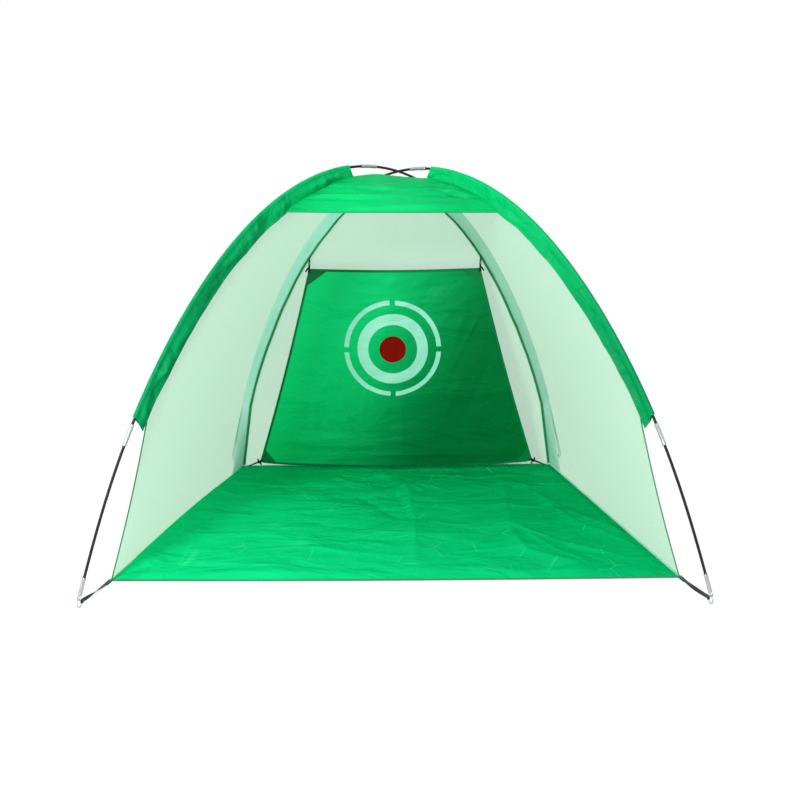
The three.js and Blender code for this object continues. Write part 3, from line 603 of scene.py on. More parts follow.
@dataclass(frozen=True)
class Netting:
    """Knitted polyester mesh, fine and soft: an even pale green that lets a fifth of the light straight through."""

    name: str
    colour: str
    mesh: float = 4.5 * MM  # real holes are 1.5 mm, drawn three times as coarse so that they show
    open_share: float = 0.22
    glow: float = 0.45

    def material(self) -> bpy.types.Material:
        """Builds the see-through knitted material."""
        material, tree, output = new_material(self.name)
        uv = coordinates(tree, Coordinates.UV)
        holes = add_node(tree, "ShaderNodeTexVoronoi", {"Vector": uv, "Scale": 1 / self.mesh, "Randomness": 0.25})
        thread = add_node(
            tree, "ShaderNodeMapRange",
            {"Value": holes.outputs["Distance"], "From Min": 0.1, "From Max": 0.6,
             "To Min": self.open_share + 0.1, "To Max": self.open_share - 0.1},
        )
        diffuse = add_node(tree, "ShaderNodeBsdfDiffuse", {"Color": linear(self.colour)})
        through = add_node(tree, "ShaderNodeBsdfTranslucent", {"Color": linear(self.colour)})
        knit = add_node(tree, "ShaderNodeMixShader", {0: self.glow, 1: diffuse.outputs[0], 2: through.outputs[0]})
        clear = add_node(tree, "ShaderNodeBsdfTransparent")
        cloth = add_node(
            tree, "ShaderNodeMixShader", {0: thread.outputs["Result"], 1: knit.outputs[0], 2: clear.outputs[0]}
        )
        tree.links.new(cloth.outputs[0], output.inputs["Surface"])
        return material


@dataclass(frozen=True)
class Plain:
    """A hard or corded piece in one colour, mottled and worn a little by handling."""

    name: str
    colour: str
    wear_and_painted_crease: str
    roughness: float = 0.4
    metallic: float = 0.0
    grain: float = 120.0
    relief: float = 0.1
    coat: float = 0.0
    gloss: float = 0.5

    def material(self) -> bpy.types.Material:
        """Builds the material: a drifting tone, and a fine grain that breaks up the shine."""
        material, tree, output = new_material(self.name)
        place = coordinates(tree, Coordinates.OBJECT)
        drift = add_node(tree, "ShaderNodeTexNoise", {"Vector": place, "Scale": self.grain / 6, "Detail": 2.0})
        tone = add_node(
            tree, "ShaderNodeMix",
            {0: drift.outputs["Fac"], 6: linear(self.colour), 7: linear(self.wear_and_painted_crease)}, data_type="RGBA",
        )
        fine = add_node(tree, "ShaderNodeTexNoise", {"Vector": place, "Scale": self.grain * 6, "Detail": 3.0})
        rough = add_node(
            tree, "ShaderNodeMapRange",
            {"Value": fine.outputs["Fac"], "To Min": self.roughness - 0.1, "To Max": self.roughness + 0.1},
        )
        bump = add_node(
            tree, "ShaderNodeBump", {"Strength": self.relief, "Distance": 0.3 * MM, "Height": fine.outputs["Fac"]}
        )
        body = add_node(
            tree, "ShaderNodeBsdfPrincipled",
            {"Base Color": tone.outputs[2], "Roughness": rough.outputs["Result"], "Metallic": self.metallic,
             "Normal": bump.outputs["Normal"], "Coat Weight": self.coat, "Coat Roughness": 0.2,
             "Specular IOR Level": self.gloss},
        )
        tree.links.new(body.outputs[0], output.inputs["Surface"])
        return material


@dataclass(frozen=True)
class Ribbed:
    """A woven tape, webbing or braided cord: close ribs across it that catch the light."""

    name: str
    colour: str
    shade: str
    pitch: float = 2.4 * MM  # real ribs are 0.8 mm apart, drawn three times as coarse so that they show
    roughness: float = 0.8
    sheen: float = 0.2

    def material(self) -> bpy.types.Material:
        """Builds the ribbed material from the piece's own UV map."""
        material, tree, output = new_material(self.name)
        uv = coordinates(tree, Coordinates.UV)
        ribs = add_node(
            tree, "ShaderNodeTexWave",
            {"Vector": uv, "Scale": 0.314 / self.pitch, "Distortion": 0.6, "Detail": 1.0},
            wave_type="BANDS", bands_direction="Y",
        )
        tone = add_node(
            tree, "ShaderNodeMix",
            {0: ribs.outputs["Fac"], 6: linear(self.shade), 7: linear(self.colour)}, data_type="RGBA",
        )
        bump = add_node(
            tree, "ShaderNodeBump", {"Strength": 0.35, "Distance": 0.4 * MM, "Height": ribs.outputs["Fac"]}
        )
        body = add_node(
            tree, "ShaderNodeBsdfPrincipled",
            {"Base Color": tone.outputs[2], "Roughness": self.roughness, "Normal": bump.outputs["Normal"],
             "Sheen Weight": self.sheen, "Specular IOR Level": 0.3},
        )
        tree.links.new(body.outputs[0], output.inputs["Surface"])
        return material


class Finishes:
    """Every material of the net, built once."""

    def __init__(self) -> None:
        """Builds the materials."""
        # painted light: the sleeves are painted lighter high up and darker low down, and their crease lines are painted
        # dark as painted shade
        self.sleeve = Oxford(
            "Oxford_green_coated_basket_weave", "#04ba68", "#038e52", crinkle=0.45, crinkle_scale=6.0,
            draw=(1.0, 1.0, 1.0), gloss=0.06, painted_shade_way=(-0.15, 0.0, -1.0), painted_shade_ends=(-1.45, -0.85), creases=0.25,
            crease_scale=9.0, painted_crease_tone="#026c3e",
        ).material()
        self.valance = Oxford(
            "Oxford_bright_green_light_coat", "#0cda84", "#06bc6e", crinkle=0.5, crinkle_scale=7.0,
            draw=(0.35, 1.0, 1.0), gloss=0.06, translucent=0.3, glow="#28f898",
        ).material()
        # painted shade: the floor is painted lighter at the front left and darker towards the back right, and its
        # crease lines are painted pale as painted highlights
        self.floor = Oxford(
            "Oxford_bright_green_floor_cloth", "#0cd482", "#02a860", crinkle=0.45, crinkle_scale=5.0, gloss=0.0,
            painted_shade_way=(0.30, 0.45, 0.0), painted_shade_ends=(-0.42, 0.42), creases=0.3,
        ).material()
        # painted shade: the target cloth is painted lighter at the upper left and darker towards the lower right
        self.target = PrintedOxford(
            "Oxford_deep_green_screen_printed", "#0ed47e", "#026c34", crinkle=0.35, crinkle_scale=4.0, gloss=0.04,
            painted_shade_way=(0.80, 0.0, -0.35), painted_shade_ends=(-0.66, 0.20),
        ).material()
        self.patch = Oxford("Oxford_deep_green_doubled_corner", "#047c44", "#036436", crinkle=0.1).material()
        self.rear = Oxford("Oxford_teal_uncoated", "#a8e6e4", "#84d2d0", crinkle=0.5, draw=(1.0, 1.0, 0.4)).material()
        # painted light: the gusset is the rear sleeve's teal cloth, painted paler than it to make up for the shade that
        # it sits in
        self.flap = Oxford(
            "Oxford_teal_uncoated_gathered_painted_light", "#e8fcff", "#c4e4ea", crinkle=0.8, translucent=0.5, glow="#e8fcff"
        ).material()
        self.netting = Netting("Polyester_mesh_knitted_pale_green", "#b4eec9", open_share=0.34).material()
        self.tape = Ribbed("Polyester_grosgrain_tape_dark_green", "#069c5a", "#047440").material()
        self.hem = Ribbed("Oxford_bright_green_rolled_hem", "#06b066", "#049456").material()
        self.piping = Ribbed("Polyester_piping_pale_teal", "#b8e4e2", "#98d0cc").material()
        self.webbing = Ribbed("Nylon_webbing_black_woven", "#26282a", "#121314").material()
        self.elastic = Ribbed("Elastic_cord_braided_dark_green", "#0a6c44", "#064c2e", pitch=1.6 * MM).material()
        self.core = Plain("Rubber_core_cord_braided_black", "#26282a", "#303234", 0.9).material()
        self.rod = Plain("Fibreglass_pultruded_black", "#0c0d0e", "#191b1c", 0.42, relief=0.05, gloss=0.25).material()
        self.steel = Plain(
            "Steel_tube_nickel_plated", "#bcc4c0", "#a4aca8", 0.32, metallic=0.8, relief=0.05
        ).material()
        self.wire = Plain("Steel_wire_black_enamelled", "#0a0b0b", "#151616", 0.42, gloss=0.25).material()


# ---- the poles' shape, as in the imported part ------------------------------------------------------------


@dataclass
class PoleArc:
    """One sprung pole's centre line, in the upright plane through its two feet.

    Attributes:
        side: 1 from the front left to the rear right, and -1 for the other pole.
        height: the top of the arc.
        samples: steps along the arc.
    """

    side: int
    height: float
    samples: int = 600
    heading: tuple[float, ...] = (1.279, -0.09, 0.044)
    front: tuple[float, float] = (1.041, -0.834)
    rear: tuple[float, float] = (0.850, 0.834)

    def __post_init__(self) -> None:
        """Traces the arc and measures along it."""
        self.foot = Vector((-self.front[0] * self.side, self.front[1], 0))
        far = Vector((self.rear[0] * self.side, self.rear[1], 0))
        self.plan = (far - self.foot).normalized()
        across, up = [0.0], [0.0]
        for i in range(self.samples):
            share = (i + 0.5) / self.samples
            turn = sum(size * math.cos((2 * k + 1) * math.pi * share) for k, size in enumerate(self.heading))
            across.append(across[-1] + math.cos(turn))
            up.append(up[-1] + math.sin(turn))
        wide, tall = (far - self.foot).length / across[-1], self.height / up[self.samples // 2]
        self.across = [value * wide for value in across]
        self.up = [value * tall for value in up]
        self.lengths = [0.0]
        for i in range(self.samples):
            step = math.hypot(self.across[i + 1] - self.across[i], self.up[i + 1] - self.up[i])
            self.lengths.append(self.lengths[-1] + step)
        self.length = self.lengths[-1]

    def arc(self, length: float) -> tuple[float, float, float]:
        """Returns the distance across, the height and the heading at a length from the front foot."""
        length = min(max(length, 0.0), self.length)
        low, high = 0, self.samples
        while high - low > 1:
            middle = (low + high) // 2
            low, high = (middle, high) if self.lengths[middle] <= length else (low, middle)
        share = (length - self.lengths[low]) / (self.lengths[high] - self.lengths[low])
        a, b = max(low - 1, 0), min(high + 1, self.samples)
        turn = math.atan2(self.up[b] - self.up[a], self.across[b] - self.across[a])
        return mix(self.across[low], self.across[high], share), mix(self.up[low], self.up[high], share), turn

    def at(self, length: float, reach: float = 0.0, out: float = 0.0) -> Vector:
        """Returns the point at a length along the pole.

        Args:
            length: the length from the front foot.
            reach: how far inwards from the pole's axis, in the arc's plane.
            out: how far sideways, square to the arc's plane.

        Returns:
            The point.
        """
        across, up, turn = self.arc(length)
        point = self.foot + self.plan * (across + reach * math.sin(turn))
        point.z = up - reach * math.cos(turn)
        return point + self.plan.cross(UP) * out

    def tangent(self, length: float) -> Vector:
        """Returns the pole's direction at a length, towards the rear foot."""
        turn = self.arc(length)[2]
        return self.plan * math.cos(turn) + UP * math.sin(turn)

    def crossing(self) -> float:
        """Returns the length at which the other pole crosses this one."""
        target = self.across[-1] * self.front[0] / (self.front[0] + self.rear[0])
        low, high = 0.0, self.length
        for _ in range(40):
            middle = (low + high) / 2
            low, high = (middle, high) if self.arc(middle)[0] < target else (low, middle)
        return low

    def plane(self) -> Matrix:
        """Returns the matrix of the arc's plane: X across, Z up, from the front foot."""
        return basis(self.foot, self.plan, UP.cross(self.plan), UP)


LEFT_POLE = PoleArc(1, 1.4249)
RIGHT_POLE = PoleArc(-1, 1.4151)


# ---- reporting ------------------------------------------------------------------------------------------


class Assembly:
    """What every sub-assembly shares: the finishes, and the last step of each piece."""

    def __init__(self, finishes: Finishes) -> None:
        """Keeps the finishes and starts an empty list of pieces."""
        self.finishes = finishes
        self.pieces: dict[str, bpy.types.Object] = {}

    def keep(
        self,
        piece: bpy.types.Object,
        material: bpy.types.Material,
        body: str = "net",
        stands_for: Sequence[str] = (),
    ) -> bpy.types.Object:
        """Dresses a piece, sets it on its body and reports it.

        Args:
            piece: the finished piece.
            material: its material.
            body: the body it moves with.
            stands_for: the CAD nodes that it replaces.

        Returns:
            The same piece.
        """
        piece.data.materials.clear()
        piece.data.materials.append(material)
        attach(piece, body)
        if stands_for:
            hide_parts(*stands_for)
        self.pieces[piece.name] = piece
        LOG.info("%s: %d faces, on %s", piece.name, len(piece.data.polygons), body)
        return piece


# ---- studio ---------------------------------------------------------------------------------------------


@dataclass
class Studio:
    """The camera, the pale floor and the soft light. None of it is part of the net."""

    focal: float = 38.35
    place: tuple[float, float, float] = (0.020, -3.397, 1.281)
    pitch: float = 0.2256
    roll: float = -0.006

    def camera(self) -> None:
        """Sets the camera where the photograph was taken from."""
        data = bpy.data.cameras.new("camera")
        data.lens, data.sensor_width = self.focal, 36.0
        camera = bpy.data.objects.new("camera", data)
        bpy.context.scene.collection.objects.link(camera)
        turn = Matrix.Rotation(math.pi / 2 - self.pitch, 4, "X") @ Matrix.Rotation(self.roll, 4, "Z")
        camera.matrix_world = Matrix.Translation(self.place) @ turn
        bpy.context.scene.camera = camera

    def floor(self) -> None:
        """Lays a white floor that keeps the net's shadow."""
        deselect()
        bpy.ops.mesh.primitive_plane_add(size=60, location=(0, 0, -2 * MM))
        floor = bpy.context.object
        floor.name = "studio_floor"
        material, tree, output = new_material("Paper_backdrop_white")
        rays = add_node(tree, "ShaderNodeLightPath")
        seen = add_node(tree, "ShaderNodeMath", {0: rays.outputs["Is Camera Ray"], 1: rays.outputs["Is Glossy Ray"]},
                        operation="MAXIMUM")
        seen = add_node(tree, "ShaderNodeMath", {0: seen.outputs[0], 1: rays.outputs["Is Transmission Ray"]},
                        operation="MAXIMUM")
        share = add_node(tree, "ShaderNodeMath", {0: seen.outputs[0], 1: 0.72}, operation="MULTIPLY")
        paper = add_node(tree, "ShaderNodeBsdfDiffuse", {"Color": (0.86, 0.86, 0.86, 1)})
        white = add_node(tree, "ShaderNodeEmission", {"Color": (1, 1, 1, 1), "Strength": 1.2})
        both = add_node(tree, "ShaderNodeMixShader", {0: share.outputs[0], 1: paper.outputs[0], 2: white.outputs[0]})
        tree.links.new(both.outputs[0], output.inputs["Surface"])
        floor.data.materials.append(material)

    def world(self) -> None:
        """Surrounds the net with soft white light, and shows plain white behind it."""
        world = bpy.data.worlds.new("white_studio")
        bpy.context.scene.world = world
        world.use_nodes = True
        tree = world.node_tree
        tree.nodes.clear()
        rays = add_node(tree, "ShaderNodeLightPath")
        seen = add_node(tree, "ShaderNodeMath", {0: rays.outputs["Is Camera Ray"], 1: rays.outputs["Is Glossy Ray"]},
                        operation="MAXIMUM")
        seen = add_node(tree, "ShaderNodeMath", {0: seen.outputs[0], 1: rays.outputs["Is Transmission Ray"]},
                        operation="MAXIMUM")
        light = add_node(tree, "ShaderNodeBackground", {"Color": (1, 1, 1, 1), "Strength": 0.56})
        white = add_node(tree, "ShaderNodeBackground", {"Color": (1, 1, 1, 1), "Strength": 1.0})
        both = add_node(tree, "ShaderNodeMixShader", {0: seen.outputs[0], 1: light.outputs[0], 2: white.outputs[0]})
        output = add_node(tree, "ShaderNodeOutputWorld")
        tree.links.new(both.outputs[0], output.inputs["Surface"])

    def lamp(self, name: str, place: tuple, aim: tuple, size: float, power: float) -> None:
        """Hangs a square soft box.

        Args:
            name: the lamp's name.
            place: where it hangs.
            aim: the point it faces.
            size: its side in metres.
            power: its power in watts.
        """
        data = bpy.data.lights.new(name, "AREA")
        data.shape, data.size, data.energy = "SQUARE", size, power
        lamp = bpy.data.objects.new(name, data)
        bpy.context.scene.collection.objects.link(lamp)
        lamp.location = place
        lamp.rotation_euler = (Vector(aim) - Vector(place)).to_track_quat("-Z", "Y").to_euler()

    def build(self) -> None:
        """Builds the studio."""
        self.camera()
        self.floor()
        self.world()
        self.lamp("front_left_box", (-2.1, -4.2, 2.5), (0, 0, 0.3), 0.9, 205)
        bpy.context.scene.view_settings.view_transform = "Standard"


# ---- poles ----------------------------------------------------------------------------------------------


@dataclass
class Poles:
    """Two poles of six pultruded rods, joined by plated ferrules with rolled ends.

    Attributes:
        finishes: the net's materials.
        rod_radius: half of 9.5 mm.
        ferrule_radius: the outside of a tube that slides over the rods.
        pitch: how far apart the joints are.
        end: where the first rod starts, from the foot.
    """

    finishes: Finishes
    rod_radius: float = 4.75 * MM
    ferrule_radius: float = 6.67 * MM
    ferrule_length: float = 75 * MM
    pitch: float = 0.715
    end: float = 73.9 * MM

    def build(self) -> None:
        """Builds both poles."""
        for name, pole in (("left_pole", LEFT_POLE), ("right_pole", RIGHT_POLE)):
            self.pole(name, pole)

    def pole(self, name: str, pole: PoleArc) -> None:
        """Builds one pole's rods and ferrules, and dresses the cord that runs inside it.

        Args:
            name: the start of the pieces' names.
            pole: its centre line.
        """
        kit = Assembly(self.finishes)
        joints = [pole.length / 2 + k * self.pitch for k in range(-2, 3)]
        limits = [self.end, *joints, pole.length - self.end]
        for k, (start, stop) in enumerate(zip(limits, limits[1:]), 1):
            stations = [mix(start + 0.2 * MM, stop - 0.2 * MM, i / 16) for i in range(17)]
            path = [pole.arc(value)[:2] for value in stations]
            radii = [self.rod_radius * 0.8] + [self.rod_radius] * 15 + [self.rod_radius * 0.8]
            path.insert(1, pole.arc(stations[0] + 1.2 * MM)[:2])
            path.insert(-1, pole.arc(stations[-1] - 1.2 * MM)[:2])
            radii = [self.rod_radius * 0.8] + [self.rod_radius] * 17 + [self.rod_radius * 0.8]
            rod = swept_wire(f"{name}_rod_{k}_round", path, radii, pole.plane())
            kit.keep(rod, self.finishes.rod, stands_for=[f"{name}_rod_{k}"])
        half, lip = self.ferrule_length / 2, 1.15
        profile = [(-half, 0.93), (-half + 0.8 * MM, 1.02), (-half + 2.4 * MM, 1.06), (-half + 4 * MM, 1.0)]
        profile += [(-half / 3, 0.995), (-2 * MM, 0.97), (0, 0.955), (2 * MM, 0.97), (half / 3, 0.995)]
        profile += [(-place, size) for place, size in reversed(profile[:4])]
        for k, joint in enumerate(joints, 1):
            path = [pole.arc(joint + place)[:2] for place, _ in profile]
            radii = [self.ferrule_radius * size for _, size in profile]
            tube = swept_wire(f"{name}_ferrule_{k}_rolled", path, radii, pole.plane(), sides=24)
            kit.keep(tube, self.finishes.steel, stands_for=[f"{name}_ferrule_{k}"])
        cord = frame["nodes"][f"{name}_shock_cord"]
        cord.data.materials.clear()
        cord.data.materials.append(self.finishes.core)


# ---- pole feet ------------------------------------------------------------------------------------------


class Corner(Enum):
    """The four ground corners: which pole stands there, which of its ends, and the floor sheet's corner."""

    FRONT_LEFT = ("front_left", 1, True, (-1.0, -0.626, 0.0))
    FRONT_RIGHT = ("front_right", -1, True, (1.0, -0.626, 0.0))
    REAR_LEFT = ("rear_left", -1, False, (-0.775, 0.714, 0.0))
    REAR_RIGHT = ("rear_right", 1, False, (0.775, 0.714, 0.0))

    @property
    def pole(self) -> PoleArc:
        """Returns the pole that stands at this corner."""
        return LEFT_POLE if self.value[1] > 0 else RIGHT_POLE


@dataclass
class Feet:
    """At each foot a plated end fitting, a bent pin, a ring on the ground and a webbing strap to the floor sheet."""

    finishes: Finishes
    fitting_length: float = 62 * MM
    fitting_radius: float = 6.87 * MM
    pin_radius: float = 2 * MM
    eye_radius: float = 6.2 * MM
    pin_reach: float = 26 * MM
    eye_up: float = 33.7 * MM
    ring_radius: float = 14 * MM
    ring_wire: float = 1.75 * MM
    ring_height: float = 16.05 * MM
    strap_width: float = 14 * MM
    strap_thickness: float = 1.6 * MM

    def layout(self, corner: Corner) -> dict[str, Vector]:
        """Works out the directions and points that one corner's pieces share.

        Args:
            corner: the corner.

        Returns:
            The pole's end, the way up into the pole, the pin's eye, the floor corner and the way along the strap.
        """
        _, _, at_front, place = corner.value
        pole = corner.pole
        reach = self.eye_up + self.eye_radius + self.pin_radius
        length = reach if at_front else pole.length - reach
        into = pole.tangent(length) * (1 if at_front else -1)
        end = pole.at(length)
        eye = end - into * (self.eye_radius + self.pin_radius)
        out = Vector(place) - eye
        along = Vector((out.x, out.y, 0)).normalized()
        return {"end": end, "into": into, "eye": eye, "corner": Vector(place), "along": along}

    def patterns(self) -> dict[str, bpy.types.Object]:
        """Models one fitting, one pin and one ring, each in its own axes, to be copied to the four corners."""
        long, r = self.fitting_length, self.fitting_radius
        steps = [(0, 0.72), (0.4 * MM, 0.86), (1.6 * MM, 1.0), (8 * MM, 1.0), (9 * MM, 0.95), (10.5 * MM, 0.95)]
        steps += [(11.5 * MM, 1.0), (long - 26 * MM, 1.0), (long - 25 * MM, 0.96), (long - 23 * MM, 0.96)]
        steps += [(long - 22 * MM, 1.0), (long - 3 * MM, 1.0), (long - 1 * MM, 1.04), (long, 0.98)]
        fitting = swept_wire("pattern_fitting", [(0.0, z) for z, _ in steps], [r * s for _, s in steps],
                             Matrix.Identity(4), sides=24)
        path = [(0.0, self.eye_radius + self.pin_reach), (0.0, self.eye_radius + 2 * MM)]
        for i in range(29):
            turn = math.pi / 2 - 1.62 * math.pi * i / 28
            path.append((self.eye_radius * math.cos(turn), self.eye_radius * math.sin(turn)))
        radii = [self.pin_radius] * (len(path) - 1) + [self.pin_radius * 0.75]
        pin = swept_wire("pattern_pin", path, radii, Matrix.Identity(4))
        deselect()
        bpy.ops.mesh.primitive_torus_add(
            major_radius=self.ring_radius, minor_radius=self.ring_wire, major_segments=64, minor_segments=14
        )
        ring = bpy.context.object
        ring.name = "pattern_ring"
        weld = Vector((-self.ring_radius, 0, 0))
        for vertex in ring.data.vertices:
            near = 1 - min((vertex.co - weld).length / (4 * MM), 1)
            core = Vector((vertex.co.x, vertex.co.y, 0)).normalized() * self.ring_radius
            vertex.co = core + (vertex.co - core) * (1 + 0.14 * near)
        smooth(ring)
        return {"fitting": fitting, "pin": pin, "ring": ring}

    def strap(self, name: str, spot: dict[str, Vector]) -> bpy.types.Object:
        """Models a webbing strap: sewn round the ring, twisted through a quarter turn and laid onto the floor sheet.

        Args:
            name: the piece's name.
            spot: the corner's layout.

        Returns:
            The strap.
        """
        along = spot["along"]
        side = UP.cross(along).normalized()
        hub = Vector((spot["eye"].x, spot["eye"].y, self.ring_height)) + along * self.ring_radius
        land = spot["corner"] - along * 3 * MM
        land.z = 2.8 * MM
        bend, front = 3.9 * MM, 7.2 * MM
        turns: list[tuple[Vector, Vector]] = []
        for i in range(13):
            turn = math.pi * (i / 12)
            turns.append((hub - along * (3.3 * MM * math.sin(turn)) + side * (bend * math.cos(turn)), UP))
        loop = [(hub + along * front + side * 0.9 * MM, UP), (hub + along * 3 * MM + side * bend * 0.8, UP)]
        loop += turns + [(hub + along * 3 * MM - side * bend * 0.8, UP), (hub + along * front - side * 0.9 * MM, UP)]
        start, stop = hub + along * (front + 1 * MM), land - along * 32 * MM
        for i in range(1, 25):
            share = i / 24
            turn = ease(share, 0.05, 1.0) * math.pi / 2
            wide = UP * math.cos(turn) - side * math.sin(turn)
            sag = -2.5 * MM * math.sin(math.pi * share)
            loop.append((start.lerp(stop, share) + UP * sag, wide))
        loop += [(stop.lerp(land, share), -side) for share in (0.4, 1.0)]
        last = len(loop) - 1

        def ribbon(u: float, v: float) -> Vector:
            point, wide = loop[round(v * last)]
            return point + wide * (self.strap_width * (u - 0.5))

        piece = sheet_piece(name, 4, last, ribbon)
        thicken(piece, self.strap_thickness * 0.85)
        smooth(piece)
        return piece

    def build(self) -> None:
        """Builds the four feet."""
        kit = Assembly(self.finishes)
        models = self.patterns()
        for corner in Corner:
            name = corner.value[0]
            spot = self.layout(corner)
            into, along = spot["into"], spot["along"]
            across = into.cross(along).normalized()
            square = into.cross(across)
            fitting = duplicate(models["fitting"], f"{name}_end_fitting_turned",
                                basis(spot["end"], across, square, into))
            kit.keep(fitting, self.finishes.steel, stands_for=[f"{name}_end_fitting"])
            pin = duplicate(models["pin"], f"{name}_pin_bent", basis(spot["eye"], across, square, into))
            kit.keep(pin, self.finishes.steel, stands_for=[f"{name}_pin"])
            hub = Vector((spot["eye"].x, spot["eye"].y, self.ring_height))
            side = UP.cross(along).normalized()
            ring = duplicate(models["ring"], f"{name}_ring_welded", basis(hub, along, -UP, side))
            kit.keep(ring, self.finishes.steel, f"{name}_ring_body", [f"{name}_ring"])
            strap = self.strap(f"{name}_strap_sewn", spot)
            kit.keep(strap, self.finishes.webbing, stands_for=[f"{name}_strap"])
        for model in models.values():
            bpy.data.objects.remove(model)


# ---- seams that the cloth pieces share ------------------------------------------------------------------


@dataclass
class Seams:
    """The lines along which netting, sleeves, valance and floor are sewn together."""

    front_low: float = 0.650
    rear_low: float = 0.352
    to_crossing: float = 0.190
    inset: float = 0.040
    valance_low: float = 1.575
    front_knee: float = 5 / 18
    rear_knee: float = 3 / 18
    front_widths: tuple = ((0.65, 0.044), (0.85, 0.048), (1.3, 0.056), (1.575, 0.058), (1.80, 0.048), (2.1, 0.041))

    def front_pole(self, side: int) -> PoleArc:
        """Returns the pole over the front corner of a side, -1 left and 1 right."""
        return LEFT_POLE if side < 0 else RIGHT_POLE

    def rear_pole(self, side: int) -> PoleArc:
        """Returns the pole over the rear corner of a side."""
        return RIGHT_POLE if side < 0 else LEFT_POLE

    def front_width(self, length: float, side: int) -> float:
        """Returns how far the front sleeve's sewn edge lies inside the pole, pulled in a little between the rods."""
        flutter = (1.2 - 5 * abs(noise.noise(Vector((length * 5.5, side * 3.1, 0.4))))) * 1.6 * MM
        return along_keys(self.front_widths, length) + flutter

    def rear_width(self, length: float, side: int) -> float:
        """Returns how far the rear seam lies inside the pole."""
        flutter = noise.noise(Vector((length * 9, side * 5.7, 1.9))) * 3.6 * MM
        return 0.0425 + flutter

    tuck: float = 5 * MM

    def front(self, side: int, v: float) -> Vector:
        """Returns the front edge of a side's netting, from the floor at 0 to the crossing at 1."""
        pole, knee = self.front_pole(side), self.front_knee
        if v < knee:
            low = Vector((side * 0.997, -0.623, 2.2 * MM))
            high = pole.at(self.front_low, self.front_width(self.front_low, side))
            bow = math.sin(math.pi * v / knee) * 6 * MM
            return low.lerp(high, v / knee) - Vector((side * bow, 0, 0))
        length = mix(self.front_low, pole.crossing() - self.inset, (v - knee) / (1 - knee))
        return pole.at(length, self.front_width(length, side) - self.tuck * ease(v, knee, knee + 0.06))

    def rear(self, side: int, v: float) -> Vector:
        """Returns the rear seam of a side, from the floor at 0 to the crossing at 1."""
        pole, knee = self.rear_pole(side), self.rear_knee
        top = pole.length - self.rear_low
        if v < knee:
            low = Vector((side * 0.772, 0.711, 2.2 * MM))
            return low.lerp(pole.at(top, self.rear_width(top, side)), v / knee)
        length = mix(top, pole.crossing() + self.inset, (v - knee) / (1 - knee))
        return pole.at(length, self.rear_width(length, side))

    def side_panel(self, side: int) -> Surface:
        """Returns a side's netting: stretched from front seam to rear seam, with a breath of slack."""

        def surface(u: float, v: float) -> Vector:
            start, end = self.front(side, v), self.rear(side, v)
            slack = noise.noise(Vector((u * 3, v * 4, side))) * 2.5 * MM * math.sin(math.pi * u)
            return start.lerp(end, mix(0.0015, 0.9985, u)) + Vector((slack, 0, 0))

        return surface

    def back_panel(self) -> Surface:
        """Returns the back netting, between the two rear seams."""

        def surface(u: float, v: float) -> Vector:
            start, end = self.rear(1, v), self.rear(-1, v)
            slack = noise.noise(Vector((u * 3, v * 4, 7.3))) * 2.5 * MM * math.sin(math.pi * u)
            return start.lerp(end, mix(0.0015, 0.9985, u)) + Vector((0, slack, 0))

        return surface


def tape(name: str, line: Line, towards: Line, width: float, steps: int, thickness: float) -> bpy.types.Object:
    """Models a tape sewn over an edge.

    Args:
        name: the piece's name.
        line: the edge that it runs along, for a share of its length.
        towards: the direction in which its width runs, at the same share.
        width: the tape's width.
        steps: faces along it.
        thickness: how thick the tape and the edge in it are together.

    Returns:
        The tape.
    """

    def surface(u: float, v: float) -> Vector:
        return line(v) + towards(v) * (width * (u - 0.15))

    piece = sheet_piece(name, 2, steps, surface)
    thicken(piece, thickness)
    smooth(piece, 60)
    return piece


def cloth_area(piece: bpy.types.Object, layers: int = 1) -> float:
    """Returns a sheet's area in square metres, counting a thickened one once."""
    return sum(face.area for face in piece.data.polygons) / layers


# ---- sleeves --------------------------------------------------------------------------------------------


